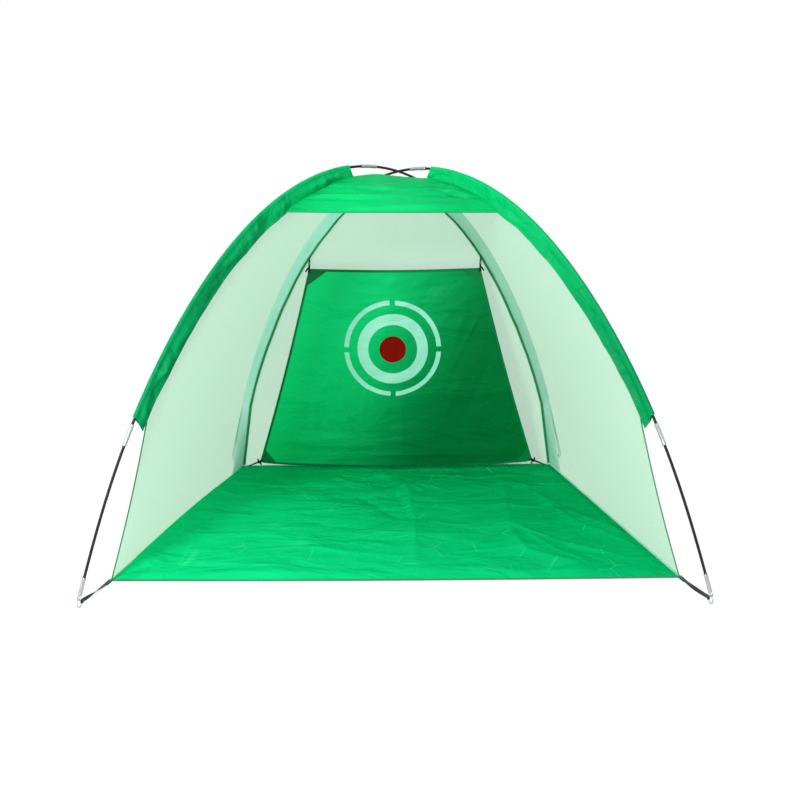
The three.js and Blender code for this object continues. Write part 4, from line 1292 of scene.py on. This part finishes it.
@dataclass
class Sleeves:
    """Four pole sleeves: a strip of Oxford folded round the pole, its two edges sewn together inside the arc."""

    finishes: Finishes
    seams: Seams
    pocket: float = 8.2 * MM
    flap: float = 1.3 * MM
    steps: int = 220

    def __post_init__(self) -> None:
        """Lays out the folds that run across each sleeve, in metres along the pole and in from it."""
        self.folds = {
            side: scattered(20 + side, 26, (0.66, 2.0, 0.01, 0.05), (0.05, 0.11), (40, 140), (4 * MM, 8 * MM), (0.007, 0.016))
            + scattered(30 + side, 18, (0.66, 2.0, 0.01, 0.05), (0.10, 0.26), (8, 40), (3 * MM, 7 * MM), (0.008, 0.020))
            + scattered(40 + side, 10, (0.66, 2.0, 0.02, 0.04), (0.08, 0.2), (60, 120), (6 * MM, 12 * MM), (0.030, 0.060))
            for side in (-1, 1)
        }

    def section(self, reach: float, swell: float) -> list[tuple[float, float]]:
        """Draws the folded strip's cross-section, as (inwards, sideways) points from one sewn edge to the other.

        Args:
            reach: how far inside the pole the sewn edges lie.
            swell: how much the pocket is blown out on one side.

        Returns:
            The section's points.
        """
        r, half = self.pocket, self.flap / 2
        points = []
        side = [(share, math.sin(math.pi * share) * swell) for share in (i / 8 for i in range(9))]
        for share, puff in side:
            points.append((mix(reach, r * 0.45, share), mix(half, r * 0.90, share ** 1.5) + puff))
        for i in range(1, 14):
            turn = math.radians(mix(60, 300, i / 14))
            points.append((r * math.cos(turn), r * math.sin(turn)))
        for share, puff in side[::-1]:
            points.append((mix(reach, r * 0.45, share), -mix(half, r * 0.90, share ** 1.5) - puff * 0.4))
        return points

    def surface(self, pole: PoleArc, start: float, stop: float, width: Callable[[float], float], cuts: tuple) -> Surface:
        """Wraps the section round a length of the pole.

        Args:
            pole: the pole.
            start: where the sleeve starts along it.
            stop: where it ends.
            width: how far inwards its sewn edge lies, at a length.
            cuts: how much further each end is cut back at the sewn edge.

        Returns:
            The sleeve's surface.
        """

        def surface(u: float, v: float) -> Vector:
            length = mix(start, stop, v)
            fold = noise.noise(Vector((length * 11, pole.side * 4.2, 0.0)))
            ridge = (1 - abs(noise.noise(Vector((length * 7.5, pole.side * 9.0, 5.0))))) ** 6
            swell = 1.6 * MM + 1.4 * MM * fold
            points = self.section(width(length), swell)
            spot = u * (len(points) - 1)
            low = min(int(spot), len(points) - 2)
            (a0, b0), (a1, b1) = points[low], points[low + 1]
            inward, sideways = mix(a0, a1, spot - low), mix(b0, b1, spot - low)
            share = max(inward, 0.0) / width(length)
            sway = noise.noise(Vector((length * 6 + share * 1.2, pole.side * 2.0, share * 0.7))) * 4 * MM
            crease = ridge * 1.2 * MM * math.sin(math.pi * min(share * 1.2, 1))
            from_foot = min(length, pole.length - length)
            crease += lifted(self.folds[pole.side], from_foot, inward)
            edge = max(1 - v * 12, 0) * cuts[0] * share - max(1 - (1 - v) * 12, 0) * cuts[1] * share
            return pole.at(length + edge, inward, sideways + (sway + crease) * ease(share, 0.15, 0.5) * (1 - 0.75 * share ** 3))

        return surface

    def build(self) -> None:
        """Builds the four sleeves."""
        kit = Assembly(self.finishes)
        for side, word in ((-1, "left"), (1, "right")):
            pole = self.seams.front_pole(side)
            start = self.seams.front_low
            stop = pole.crossing() - self.seams.to_crossing - (36 * MM if side < 0 else 4 * MM)
            name = f"front_{word}_sleeve"
            shape = self.surface(pole, start, stop, lambda s, w=side: self.seams.front_width(s, w), (-34 * MM, -22 * MM))
            self.sleeve(kit, name, shape, self.finishes.sleeve, stop - start, 0.050)
            pole = self.seams.rear_pole(side)
            start, stop = pole.crossing() + self.seams.to_crossing, pole.length - self.seams.rear_low
            name = f"rear_{word}_sleeve"
            shape = self.surface(pole, start, stop, lambda s, w=side: self.seams.rear_width(s, w), (0.0, 0.0))
            self.sleeve(kit, name, shape, self.finishes.rear, stop - start, 0.0425)

    def sleeve(
        self, kit: Assembly, name: str, shape: Surface, material: bpy.types.Material, length: float, reach: float
    ) -> None:
        """Args:
            kit: where finished pieces are kept.
            name: the CAD sleeve's name.
            shape: the sleeve's surface.
            material: its cloth.
            length: how long it is along the pole; not used.
            reach: how far inwards its sewn edge lies; not used.
        """
        piece = sheet_piece(f"{name}_folded", 40, self.steps, shape)
        area = cloth_area(piece)
        thicken(piece, 0.6 * MM)
        smooth(piece, 50)
        kit.keep(piece, material, stands_for=[name])
        LOG.info("%s: %.3f square metres", name, area)


# ---- netting body ---------------------------------------------------------------------------------------


@dataclass
class NettingBody:
    """Three knitted panels, the tape along their seams, and the pale piping where they meet the floor sheet."""

    finishes: Finishes
    seams: Seams

    def build(self) -> None:
        """Builds the panels, bindings, seam tapes and piping."""
        kit = Assembly(self.finishes)
        for side, word in ((-1, "left"), (1, "right")):
            self.panel(kit, f"{word}_netting", self.seams.side_panel(side))
            self.binding(kit, side, word)
            self.rear_seam(kit, side, word)
            self.piping(kit, f"{word}_floor_piping", Vector((side * 0.997, -0.618, 3.2 * MM)),
                        Vector((side * 0.773, 0.708, 3.2 * MM)))
        self.panel(kit, "back_netting", self.seams.back_panel())
        self.piping(kit, "back_floor_piping", Vector((-0.770, 0.708, 3.6 * MM)), Vector((0.770, 0.708, 3.6 * MM)))

    def panel(self, kit: Assembly, name: str, surface: Surface) -> None:
        """Models one panel of netting.

        Args:
            kit: where finished pieces are kept.
            name: the CAD panel's name.
            surface: its shape.
        """
        piece = sheet_piece(f"{name}_knitted", 40, 96, surface)
        rows = [surface(0.0, v / 20) for v in range(21)]
        tall = sum((b - a).length for a, b in zip(rows, rows[1:]))
        wide = max((surface(0.0, v / 20) - surface(1.0, v / 20)).length for v in range(21))
        smooth(piece, 80)
        kit.keep(piece, self.finishes.netting, stands_for=[name])

    def binding(self, kit: Assembly, side: int, word: str) -> None:
        """Sews a thin dark tape over the front edge of a side panel, below its sleeve."""
        knee = self.seams.front_knee

        def line(v: float) -> Vector:
            return self.seams.front(side, v * knee)

        def towards(v: float) -> Vector:
            return (self.seams.rear(side, v * knee) - line(v)).normalized()

        piece = tape(f"{word}_front_edge_binding", line, towards, 7 * MM, 40, 2.4 * MM)
        kit.keep(piece, self.finishes.tape)

    def rear_seam(self, kit: Assembly, side: int, word: str) -> None:
        """Sews the dark seam tape where the side panel, the back panel and the rear sleeve meet."""

        def line(v: float) -> Vector:
            return self.seams.rear(side, mix(0.004, 0.985, v))

        def towards(v: float) -> Vector:
            at = mix(0.004, 0.985, v)
            pull = (self.seams.rear(-side, at) - line(v)).normalized()
            pull = pull + (self.seams.front(side, at) - line(v)).normalized() * 0.6
            return pull.normalized()

        piece = tape(f"{word}_rear_seam_tape", line, towards, 17 * MM, 150, 2.6 * MM)
        kit.keep(piece, self.finishes.tape)

    def piping(self, kit: Assembly, name: str, start: Vector, stop: Vector) -> None:
        """Sews a pale cord of piping along an edge of the floor sheet."""
        points = []
        for i in range(61):
            wave = noise.noise(Vector((i * 0.31, start.x, start.y))) * 1.2 * MM
            points.append(start.lerp(stop, i / 60) + Vector((wave * 0.5, 0, max(wave, 0))))
        piece = soft_tube(name, points, 3.4 * MM, sides=8)
        kit.keep(piece, self.finishes.piping)


# ---- valance --------------------------------------------------------------------------------------------


@dataclass
class Valance:
    """The cloth that closes the top of the opening, drawn tight between the sleeves so that it ripples."""

    finishes: Finishes
    seams: Seams
    ripple: float = 3.0 * MM

    def __post_init__(self) -> None:
        """Lays out the long wrinkles that run from sleeve to sleeve, in metres across and up the cloth."""
        self.folds = scattered(7, 44, (-0.36, 0.36, 0.02, 0.48), (0.10, 0.42), (-6, 6), (4 * MM, 9 * MM), (0.008, 0.018))
        self.folds += scattered(11, 14, (-0.44, -0.2, 0.05, 0.4), (0.08, 0.2), (12, 34), (4 * MM, 7 * MM), (0.007, 0.016))
        self.folds += scattered(12, 14, (0.2, 0.44, 0.05, 0.4), (0.08, 0.2), (-34, -12), (5 * MM, 9 * MM), (0.007, 0.013))

    def edge(self, side: int, v: float) -> Vector:
        """Returns the sewn edge at one sleeve."""
        pole = self.seams.front_pole(side)
        length = mix(self.seams.valance_low, pole.crossing() - self.seams.inset, v)
        return pole.at(length, self.seams.front_width(length, side) - 1.6 * self.seams.tuck)

    def surface(self, u: float, v: float) -> Vector:
        """Returns the rippled cloth: long soft rolls from sleeve to sleeve, broken by slanting creases."""
        point = self.edge(-1, v).lerp(self.edge(1, v), mix(0.002, 0.998, u))
        hang = math.sin(math.pi * u)
        rolls = math.sin(2 * math.pi * (2.6 * v + 0.35 * u + 0.25 * noise.noise(Vector((u * 2.2, v * 2, 1.0)))))
        lift = hang * ease(1 - v, 0.0, 0.25) * rolls * self.ripple
        lift += min(4 * hang, 1) * lifted(self.folds, point.x, v * 0.53) * ease(1 - v, 0.0, 0.1) * ease(v, -0.05, 0.1)
        sag = 3 * MM * hang * (1 - v) ** 4
        return point + Vector((0, -0.75 * lift, 0.65 * lift - sag))

    def build(self) -> None:
        """Builds the valance and its two hems."""
        kit = Assembly(self.finishes)
        piece = sheet_piece("front_valance_rippled", 120, 64, self.surface)
        for name, row, sign in (("front_valance_lower_hem", 0.0, 1), ("front_valance_top_hem", 1.0, -1)):
            def line(v: float, at: float = row) -> Vector:
                return self.surface(v, at)

            def towards(v: float, at: float = row, way: int = sign) -> Vector:
                return (self.surface(v, at + way * 0.03) - self.surface(v, at)).normalized()

            hem = tape(name, line, towards, 8 * MM, 100, 1.8 * MM)
            kit.keep(hem, self.finishes.hem)
        thicken(piece, 0.7 * MM)
        smooth(piece, 60)
        kit.keep(piece, self.finishes.valance, stands_for=["front_valance"])
        wide = (self.edge(-1, 0) - self.edge(1, 0)).length
        tall = self.seams.front_pole(-1).crossing() - self.seams.inset - self.seams.valance_low


# ---- rear corner flaps ----------------------------------------------------------------------------------


@dataclass
class Flaps:
    """Below each rear sleeve, a gusset of the same cloth that widens down to the floor, outside the netting. Its colour
    is painted paler than the sleeve's, as painted light against the shade that it sits in.
    """

    finishes: Finishes
    seams: Seams
    foot: float = 0.150
    offset: float = 2.2 * MM

    def surface(self, side: int) -> Surface:
        """Returns one gusset, from the seam to a straight edge between the floor and the sleeve, in soft pleats."""
        pole = self.seams.rear_pole(side)

        def surface(u: float, v: float) -> Vector:
            row = mix(0.006, 1.03, v)
            at = row * self.seams.rear_knee
            start = self.seams.rear(side, at)
            low = self.seams.rear(side, 0.0)
            forward = (self.seams.front(side, 0.0) - low).normalized()
            outward = Vector((-side * forward.y, side * forward.x, 0)).normalized()
            outward = outward if outward.x * side > 0 else -outward
            knee = pole.at(pole.length - self.seams.rear_low - 10 * MM, -2 * MM, 0.0)
            edge = (low + forward * self.foot).lerp(knee + forward * 10 * MM, row)
            pleat = math.sin(u * 14 + 3 * row) * 0.6 + noise.noise(Vector((u * 5, row * 4, side)))
            inside = math.sin(math.pi * min(max(u, 0.0), 1.0))
            lift = self.offset * ease(u, 0.0, 0.1) + (pleat * 3.0 * MM + 3 * MM) * inside
            return start.lerp(edge, u) + outward * lift

        return surface

    def build(self) -> None:
        """Builds both gussets."""
        kit = Assembly(self.finishes)
        for side, word in ((-1, "left"), (1, "right")):
            shape = self.surface(side)
            piece = sheet_piece(f"rear_{word}_flap_pleated", 28, 40, lambda u, v: shape(u if side < 0 else 1 - u, v))
            thicken(piece, 0.7 * MM)
            smooth(piece, 60)
            kit.keep(piece, self.finishes.flap, stands_for=[f"rear_{word}_flap"])
            tall = (self.seams.rear(side, self.seams.rear_knee) - self.seams.rear(side, 0)).length


# ---- floor sheet ----------------------------------------------------------------------------------------


@dataclass
class FloorSheet:
    """A trapezoid of bright Oxford on the ground, creased from folding, with a dark hem along the front."""

    finishes: Finishes
    thickness: float = 0.8 * MM
    rest: float = 1.1 * MM
    bow: float = 10 * MM
    strip: float = 0.085

    def __post_init__(self) -> None:
        """Lays out the fold lines: the ones from packing, and the fine crumpling towards the back."""
        lines = (
            (((0.50, 0.46), (0.47, 0.02), (0.455, -0.20), (0.49, -0.42), (0.68, -0.56)), 18 * MM, 0.060),
            (((0.05, 0.36), (0.075, -0.10), (0.072, -0.50)), 13 * MM, 0.040),
            (((-0.16, 0.22), (-0.04, 0.02), (0.03, -0.06)), -10 * MM, 0.030),
            (((0.00, 0.24), (0.03, 0.10), (0.06, -0.10)), -10 * MM, 0.028),
            (((0.46, -0.14), (0.62, -0.30), (0.84, -0.46)), 9 * MM, 0.018),
            (((0.52, -0.22), (0.60, -0.40), (0.70, -0.52)), 8 * MM, 0.015),
            (((0.58, 0.34), (0.70, 0.06), (0.90, -0.24)), 12 * MM, 0.030),
            (((0.66, 0.10), (0.74, -0.12), (0.92, -0.36)), 8 * MM, 0.018),
            (((-0.52, -0.20), (-0.40, -0.30), (-0.22, -0.38)), 4 * MM, 0.020),
        )
        self.folds = [
            Crease(start, end, height, width)
            for line, height, width in lines for start, end in zip(line, line[1:])
        ]
        self.folds += scattered(5, 46, (-0.9, 0.9, -0.55, 0.4), (0.16, 0.5), (-24, 14), (2.5 * MM, 6 * MM), (0.010, 0.026))
        self.folds += scattered(9, 60, (-0.7, 0.7, 0.28, 0.68), (0.06, 0.2), (-70, 70), (3 * MM, 8 * MM), (0.012, 0.028))
        self.folds += scattered(3, 18, (-0.9, 0.9, -0.5, 0.5), (0.2, 0.6), (-80, 80), (2 * MM, 4 * MM), (0.012, 0.03))

    def outline(self, u: float, v: float) -> Vector:
        """Returns a point of the flat trapezoid, for a share across and a share from front to back."""
        y = mix(-0.626, 0.714, v)
        half = mix(1.0, 0.775, v)
        return Vector((mix(-half, half, u), y - self.bow * math.sin(math.pi * u) * (1 - v) ** 3, 0))

    def surface(self, u: float, v: float) -> Vector:
        """Returns the cloth: flat at its sewn edges, with soft hills, creases and a turned-up strip at the left."""
        point = self.outline(u, v)
        x, y = point.x, point.y
        edge = min(ease(u, 0, 0.03), ease(1 - u, 0, 0.03), ease(v, 0, 0.04), ease(1 - v, 0, 0.03))
        hills = noise.noise(Vector((x * 2.2, y * 2.6, 0.5))) + 0.35 * noise.noise(Vector((x * 6, y * 6, 2.5)))
        height = max(9 * MM + 6 * MM * hills + lifted(self.folds, x, y), 0)
        wide = self.strip * math.sin(math.pi * min(max(0.16 + v * 0.84, 0.0), 1.0)) ** 0.6 * ease(v, 0.0, 0.12)
        strip = 38 * MM * max(1 - u / wide, 0) * (wide / self.strip) if wide > 0.004 else 0.0
        point.z = self.rest + edge * height * ease(1 - strip / (42 * MM)) + strip * ease(u, 0.0, 0.014)
        return point

    def build(self) -> None:
        """Builds the sheet with its corner tabs and its front hem."""
        kit = Assembly(self.finishes)
        piece = sheet_piece("floor_sheet_creased", 250, 185, self.surface)

        def front(v: float) -> Vector:
            return self.surface(v, 0.0) + Vector((0, 0, 0.2 * MM))

        hem = tape("floor_front_hem", front, lambda v: Vector((0, 1, 0)), 12 * MM, 160, 2.0 * MM)
        kit.keep(hem, self.finishes.tape)
        for corner in Corner:
            spot = Feet(self.finishes).layout(corner)
            along, side = spot["along"], UP.cross(spot["along"])

            def tab(u: float, v: float) -> Vector:
                reach, half = mix(-36 * MM, 14 * MM, v), mix(8.5 * MM, 10 * MM, v) * (2 * u - 1)
                return spot["corner"] + along * reach + side * half + UP * 0.9 * MM

            patch = sheet_piece(f"floor_{corner.value[0]}_tab", 4, 8, tab)
            thicken(patch, 1.2 * MM)
            smooth(patch)
            kit.keep(patch, self.finishes.tape)
        thicken(piece, self.thickness)
        smooth(piece, 60)
        kit.keep(piece, self.finishes.floor, stands_for=["floor_sheet"])


# ---- target ---------------------------------------------------------------------------------------------


@dataclass
class Target:
    """The leaning target cloth: printed Oxford with hemmed edges, doubled corners and four eyelets."""

    finishes: Finishes
    top: tuple[float, float, float] = (0.37707, 0.39237, 1.00534)
    bottom: tuple[float, float, float] = (0.66, 0.58, 0.066)
    hollow: float = 8 * MM
    belly: float = 14 * MM
    fold: float = 4 * MM
    eyelet_inset: float = 11 * MM
    drop: float = 32 * MM

    def __post_init__(self) -> None:
        """Works out the cloth's own directions, and its fold lines in x and z."""
        self.up = Vector((0, self.top[1] - self.bottom[1], self.top[2] - self.bottom[2])).normalized()
        self.normal = Vector((1, 0, 0)).cross(self.up)
        self.folds = scattered(2, 26, (-0.32, 0.34, 0.80, 0.97), (0.08, 0.26), (-14, 14), (3 * MM, 6 * MM), (0.010, 0.020))
        self.folds += scattered(4, 9, (-0.5, 0.1, 0.2, 0.7), (0.15, 0.4), (75, 105), (3 * MM, 6 * MM), (0.016, 0.035))
        self.folds += scattered(6, 9, (-0.1, 0.5, 0.3, 0.85), (0.15, 0.45), (40, 75), (2.5 * MM, 5.5 * MM), (0.014, 0.035))
        self.folds += scattered(8, 12, (-0.5, 0.5, 0.10, 0.22), (0.2, 0.6), (-8, 8), (3 * MM, 6 * MM), (0.016, 0.035))
        self.folds += [Crease((-0.24, 0.80), (-0.16, 0.30), 5 * MM, 0.05), Crease((0.33, 0.86), (0.22, 0.50), 5 * MM, 0.03)]
        self.folds += [Crease((0.40, 0.84), (0.24, 0.50), 6 * MM, 0.012), Crease((-0.30, 0.62), (-0.22, 0.22), 6 * MM, 0.016)]
        self.folds += [Crease((-0.62, 0.16), (-0.50, 0.26), 6 * MM, 0.03), Crease((-0.5, 0.10), (0.5, 0.10), 9 * MM, 0.03)]

    def corner(self, side: int, top: bool) -> Vector:
        """Returns a corner of the cloth."""
        x, y, z = self.top if top else self.bottom
        return Vector((x * side, y, z))

    def surface(self, u: float, v: float) -> Vector:
        """Returns the hanging cloth: hollow edges, a belly, and folds that run in from the corners."""
        left = self.corner(-1, False).lerp(self.corner(-1, True), v)
        right = self.corner(1, False).lerp(self.corner(1, True), v)
        point = left.lerp(right, u)
        point.x += self.hollow * math.sin(math.pi * v) * (1 - 2 * u)
        point += self.up * (self.hollow * math.sin(math.pi * u) * (1 - 2 * v) * (1 if v > 0.5 else 0))
        point -= self.up * (self.drop * math.sin(math.pi * min(max(u, 0), 1)) ** 0.5 * ease(0.5 - v, 0.0, 0.5))
        inside = math.sin(math.pi * u) * math.sin(math.pi * v)
        upright = math.cos(2 * math.pi * 3 * (u - 0.5)) * (1 - 0.5 * v)
        slanting = math.sin(2 * math.pi * (1.5 * v + 1.2 * abs(2 * u - 1)))
        swell = self.belly + self.fold * (upright + 0.75 * slanting)
        x, z = point.x, point.z
        slight = noise.noise(Vector((x * 5 + z * 2, z * 4, 2.0))) * 1.6 * MM
        return point + self.normal * (inside * swell + min(inside * 4, 1) * (slight + lifted(self.folds, x, z)))

    def hem(self, kit: Assembly, name: str, ends: tuple) -> bpy.types.Object:
        """Folds a hem over one edge.

        Args:
            kit: where finished pieces are kept.
            name: the hem's name.
            ends: the (across, up) shares of its two ends.

        Returns:
            The hem.
        """
        (u0, v0), (u1, v1) = ends
        inwards = ((0.5 - (u0 + u1) / 2) * 0.04, (0.5 - (v0 + v1) / 2) * 0.04)

        def line(v: float) -> Vector:
            return self.surface(mix(u0, u1, v), mix(v0, v1, v))

        def towards(v: float) -> Vector:
            u, w = mix(u0, u1, v), mix(v0, v1, v)
            return (self.surface(u + inwards[0], w + inwards[1]) - self.surface(u, w)).normalized()

        piece = tape(name, line, towards, 11 * MM, 60, 2.2 * MM)
        return kit.keep(piece, self.finishes.patch, "target")

    def patch(self, kit: Assembly, name: str, side: int, top: bool) -> bpy.types.Object:
        """Sews a doubled triangle of cloth into a corner, on the face towards the player."""
        u0, v0 = (0.0 if side < 0 else 1.0), (1.0 if top else 0.0)
        wide, tall = (0.115, 0.085) if top else (0.062, 0.078)

        def surface(u: float, v: float) -> Vector:
            across, up = u * (1 - v) * wide, v * tall
            spot = self.surface(u0 + (across if side < 0 else -across), v0 + (-up if top else up))
            return spot + self.normal * 1.4 * MM

        piece = sheet_piece(name, 12, 12, surface)
        thicken(piece, 0.8 * MM)
        smooth(piece, 60)
        return kit.keep(piece, self.finishes.patch, "target")

    def build(self) -> None:
        """Builds the cloth with its hems, doubled corners and eyelets."""
        kit = Assembly(self.finishes)
        parts = [
            self.hem(kit, f"target_{word}_hem", ends)
            for word, ends in {
                "top": ((0, 1), (1, 1)), "bottom": ((0, 0), (1, 0)), "left": ((0, 0), (0, 1)), "right": ((1, 0), (1, 1)),
            }.items()
        ]
        for side, word in ((-1, "left"), (1, "right")):
            for top, level in ((True, "upper"), (False, "lower")):
                parts.append(self.patch(kit, f"target_{level}_{word}_corner", side, top))
                hook = HOOKS[f"{level}_{word}"]
                pull = Vector(hook["a"])
                centre = self.corner(side, top) - pull * self.eyelet_inset + self.normal * 1.1 * MM
                parts.append(self.eyelet(kit, f"target_{level}_{word}_eyelet", centre))
        piece = sheet_piece("target_cloth_printed", 150, 130, self.surface)
        thicken(piece, 0.9 * MM)
        smooth(piece, 60)
        kit.keep(piece, self.finishes.target, "target", ["target_cloth"])
        tall = (self.corner(1, True) - self.corner(1, False)).length

    def eyelet(self, kit: Assembly, name: str, centre: Vector) -> bpy.types.Object:
        """Sets a rolled brass eyelet, blackened, through a corner."""
        deselect()
        bpy.ops.mesh.primitive_torus_add(
            major_radius=5.2 * MM, minor_radius=1.1 * MM, major_segments=32, minor_segments=10
        )
        piece = bpy.context.object
        piece.name = piece.data.name = name
        for vertex in piece.data.vertices:
            vertex.co.z *= 0.8
        side = Vector((1, 0, 0))
        piece.matrix_world = basis(centre, side, self.normal.cross(side), self.normal)
        settle(piece)
        smooth(piece)
        return kit.keep(piece, self.finishes.wire, "target")


HOOKS: dict[str, dict[str, tuple]] = {
    "upper_left": {"bend": (-0.37713, 0.39117, 1.00249), "a": (0.01811, 0.38581, 0.9224),
                   "b": (0.01221, -0.92257, 0.38564), "anchor": (-0.37606, 0.41394, 1.05691)},
    "upper_right": {"bend": (0.37687, 0.39099, 1.00258), "a": (0.06376, 0.4463, 0.89261),
                    "b": (0.0494, -0.89474, 0.44384), "anchor": (0.38075, 0.41814, 1.05688)},
    "lower_left": {"bend": (-0.65815, 0.57785, 0.06725), "a": (-0.59743, 0.6938, -0.40214),
                   "b": (-0.44993, -0.70511, -0.54807), "anchor": (-0.753, 0.688, 0.0034)},
    "lower_right": {"bend": (0.65815, 0.57785, 0.06725), "a": (0.59743, 0.6938, -0.40214),
                    "b": (0.44993, -0.70511, -0.54807), "anchor": (0.753, 0.688, 0.0034)},
}


@dataclass
class HooksAndTies:
    """Four bent wire hooks through the eyelets, each drawn back by a doubled elastic tie."""

    finishes: Finishes
    wire: float = 3.7 * MM
    bend: float = 6 * MM
    shank: float = 14 * MM
    eye: float = 4.8 * MM
    cord: float = 2.2 * MM
    spread: float = 2.6 * MM
    pitch: float = 2.4 * MM

    def build(self) -> None:
        """Builds the hooks and the ties."""
        kit = Assembly(self.finishes)
        for name, data in HOOKS.items():
            bend, a, b = Vector(data["bend"]), Vector(data["a"]), Vector(data["b"])
            flat = [(9 * MM, 9.4 * MM), (5 * MM, 7.6 * MM), (2 * MM, 6.4 * MM)]
            for i in range(19):
                turn = math.radians(mix(95, 270, i / 18))
                flat.append((self.bend * math.cos(turn), self.bend * math.sin(turn)))
            for i in range(1, 5):
                flat.append((self.shank * i / 5, -self.bend))
            for i in range(21):
                turn = math.radians(270 + 232 * i / 20)
                flat.append((self.shank + self.eye * math.cos(turn), self.eye - self.bend + self.eye * math.sin(turn)))
            path = [bend + a * x + b * z for x, z in flat]
            side, upper = math.copysign(1, bend.x), name.startswith("upper")
            tail = Vector((side * 15, -5, -20)) * MM if upper else Vector((side * 4, -4, 21)) * MM
            path = [path[0] + tail * share + a * (4 * MM * share * (1 - share)) for share in (1.0, 0.7, 0.35)] + path
            if not upper:
                path += [path[-1] + Vector((-side * 9, -5, -13)) * MM * share for share in (0.5, 1.0)]
            hook = soft_tube(f"{name}_hook_wire", path, self.wire, sides=12)
            kit.keep(hook, self.finishes.wire, f"{name}_hook_body", [f"{name}_hook"])
            self.tie(kit, name, bend, a, b, Vector(data["anchor"]))

    def tie(self, kit: Assembly, name: str, bend: Vector, a: Vector, b: Vector, anchor: Vector) -> None:
        """Models a doubled cord from its seam, round through the hook's eye and back.

        Args:
            kit: where finished pieces are kept.
            name: the corner's name.
            bend: the centre of the hook's bend.
            a: the hook's direction, towards the tie.
            b: the hook's direction through the cloth.
            anchor: where the tie is sewn in.
        """
        c = a.cross(b)
        eye = bend + a * (self.shank + 1.4 * MM) + b * (self.eye - self.bend)
        level = UP.cross(a).normalized()
        level *= math.copysign(1, level.dot(c))

        def strand(sign: int) -> list[Vector]:
            widths = (1.0, 1.0, 0.88, 0.54)
            outs = (14 * MM, 6 * MM, 1.6 * MM, 0.1 * MM)
            bends = [eye + c * (sign * self.spread * w) + a * out for w, out in zip(widths, outs)]
            return [anchor + level * (sign * self.pitch / 2), *bends]

        control = strand(1) + [eye] + strand(-1)[::-1]
        points = []
        for i in range(len(control) - 1):
            p0, p1 = control[max(i - 1, 0)], control[i]
            p2, p3 = control[i + 1], control[min(i + 2, len(control) - 1)]
            for k in range(6):
                t = k / 6
                points.append(0.5 * ((2 * p1) + (p2 - p0) * t + (2 * p0 - 5 * p1 + 4 * p2 - p3) * t ** 2
                                     + (3 * p1 - p0 - 3 * p2 + p3) * t ** 3))
        points.append(control[-1])
        piece = soft_tube(f"{name}_tie_doubled", points, self.cord, sides=10)
        upper = name.startswith("upper")
        kit.keep(piece, self.finishes.elastic if upper else self.finishes.webbing, "net",
                 [f"{name}_tie"])
        if not upper:
            world = piece.matrix_world.copy()
            piece.parent = None
            piece.matrix_world = world
            del piece["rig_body"]
            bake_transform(piece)


# ---- the net --------------------------------------------------------------------------------------------


def main() -> None:
    """Builds the studio and the net in order."""
    studio = Studio()
    studio.build()
    finishes = Finishes()
    seams = Seams()
    for assembly in (
        Poles(finishes), Feet(finishes), Sleeves(finishes, seams), NettingBody(finishes, seams),
        Valance(finishes, seams), Flaps(finishes, seams), FloorSheet(finishes), Target(finishes),
        HooksAndTies(finishes),
    ):
        assembly.build()
        LOG.info("%s done", type(assembly).__name__)
    bpy.context.view_layer.update()


if __name__ == "__main__":
    main()
